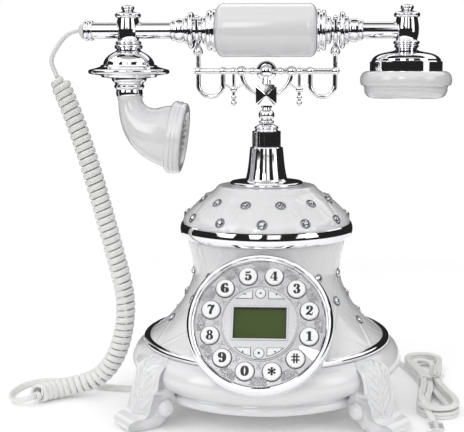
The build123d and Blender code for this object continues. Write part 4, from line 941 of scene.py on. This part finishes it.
def studio_world():
    """A surround that is plain white to the camera, and has dark panels for light and reflections."""
    world = bpy.data.worlds.new("studio")
    bpy.context.scene.world = world
    world.use_nodes = True
    tree = world.node_tree
    direction = new_node(tree, "TexCoord").outputs["Generated"]

    def math_node(kind, a, b):
        made = tree.nodes.new("ShaderNodeMath")
        made.operation = kind
        for socket, value in zip(made.inputs, (a, b)):
            if isinstance(value, (int, float)):
                socket.default_value = value
            else:
                tree.links.new(value, socket)
        return made.outputs[0]

    def above(value, edge, soft):
        rise = new_node(tree, "MapRange", Value=value, From_Min=edge - soft, From_Max=edge + soft)
        rise.interpolation_type = "SMOOTHSTEP"
        return rise.outputs[0]

    def within(value, low, high, soft):
        return math_node("SUBTRACT", above(value, low, soft), above(value, high, soft))

    x, y, z = new_node(tree, "SeparateXYZ", Vector=direction).outputs
    dark = 0.0
    for low_x, high_x, low_y, high_y, low_z, high_z in DARK_PANELS:
        shade = math_node("MULTIPLY", within(x, low_x, high_x, PANEL_SOFT),
                          within(y, low_y, high_y, PANEL_SOFT))
        shade = math_node("MULTIPLY", shade, within(z, low_z, high_z, PANEL_SOFT))
        dark = math_node("MAXIMUM", dark, shade)
    overhead = math_node("MULTIPLY", within(z, OVERHEAD_FROM, 2.0, OVERHEAD_SOFT), OVERHEAD_DARK)
    strength = new_node(tree, "MapRange", Value=math_node("MAXIMUM", dark, overhead), To_Min=STUDIO_BRIGHT,
                        To_Max=STUDIO_DARK)
    seen = new_node(tree, "LightPath").outputs["Is Camera Ray"]
    shown = new_node(tree, "Mix", Factor=seen, A=strength.outputs[0], B=BACKDROP).outputs[0]
    set_inputs(tree, tree.nodes["Background"], Strength=shown, Color=(1, 1, 1, 1))


def softbox(name, place, aim, size, power, reflected=True):
    """A rectangular lamp at place, turned towards aim."""
    lamp = bpy.data.lights.new(name, "AREA")
    lamp.shape = "RECTANGLE"
    lamp.size, lamp.size_y = size
    lamp.energy = power
    made = bpy.data.objects.new(name, lamp)
    made.location = place
    made.rotation_euler = (Vector(aim) - Vector(place)).to_track_quat("-Z", "Y").to_euler()
    made.visible_glossy = reflected
    bpy.context.collection.objects.link(made)


studio_world()
# the top lamp would hide the dark panel overhead in the chrome, so it isn't reflected
softbox("top_light", (-0.1, 0.3, 1.3), (0, 0, 0.1), (1.0, 0.8), 3.3, reflected=False)
softbox("front_light", (-0.25, -1.2, 0.75), (0, 0, 0.2), (0.35, 0.5), 2.2)
softbox("left_light", (-0.9, -0.7, 0.7), (0, 0, 0.15), (0.5, 0.7), 2.4)
softbox("right_light", (1.0, -0.5, 0.5), (0, 0, 0.15), (0.4, 0.7), 1.4)

floor_finish = material("floor", (0.93, 0.93, 0.93), 0.7, mottle=0.004, mottle_size=0.2, bump=0.0,
                        Emission_Color=(1, 1, 1, 1), Emission_Strength=0.10)
FLOOR_REACH, FLOOR_SIDES = 0.56, 96
rim_points = [(FLOOR_REACH * cos(2 * pi * k / FLOOR_SIDES),
               FLOOR_REACH * sin(2 * pi * k / FLOOR_SIDES), -0.0002) for k in range(FLOOR_SIDES)]
floor = piece("floor", rim_points, [tuple(range(FLOOR_SIDES))], floor_finish, body=None, smooth=False)

AZIMUTH, TILT = radians(3), radians(81.7)
DISTANCE, EYE_HEIGHT = 0.7, 0.233
camera = bpy.data.cameras.new("camera")
camera.lens = 78.3
camera.shift_x = -0.0744
eye = bpy.data.objects.new("camera", camera)
eye.location = (DISTANCE * sin(AZIMUTH), STEM_Y - DISTANCE * cos(AZIMUTH), EYE_HEIGHT)
eye.rotation_euler = (TILT, 0, AZIMUTH)
bpy.context.collection.objects.link(eye)
bpy.context.scene.camera = eye
bpy.context.scene.view_settings.view_transform = "Standard"
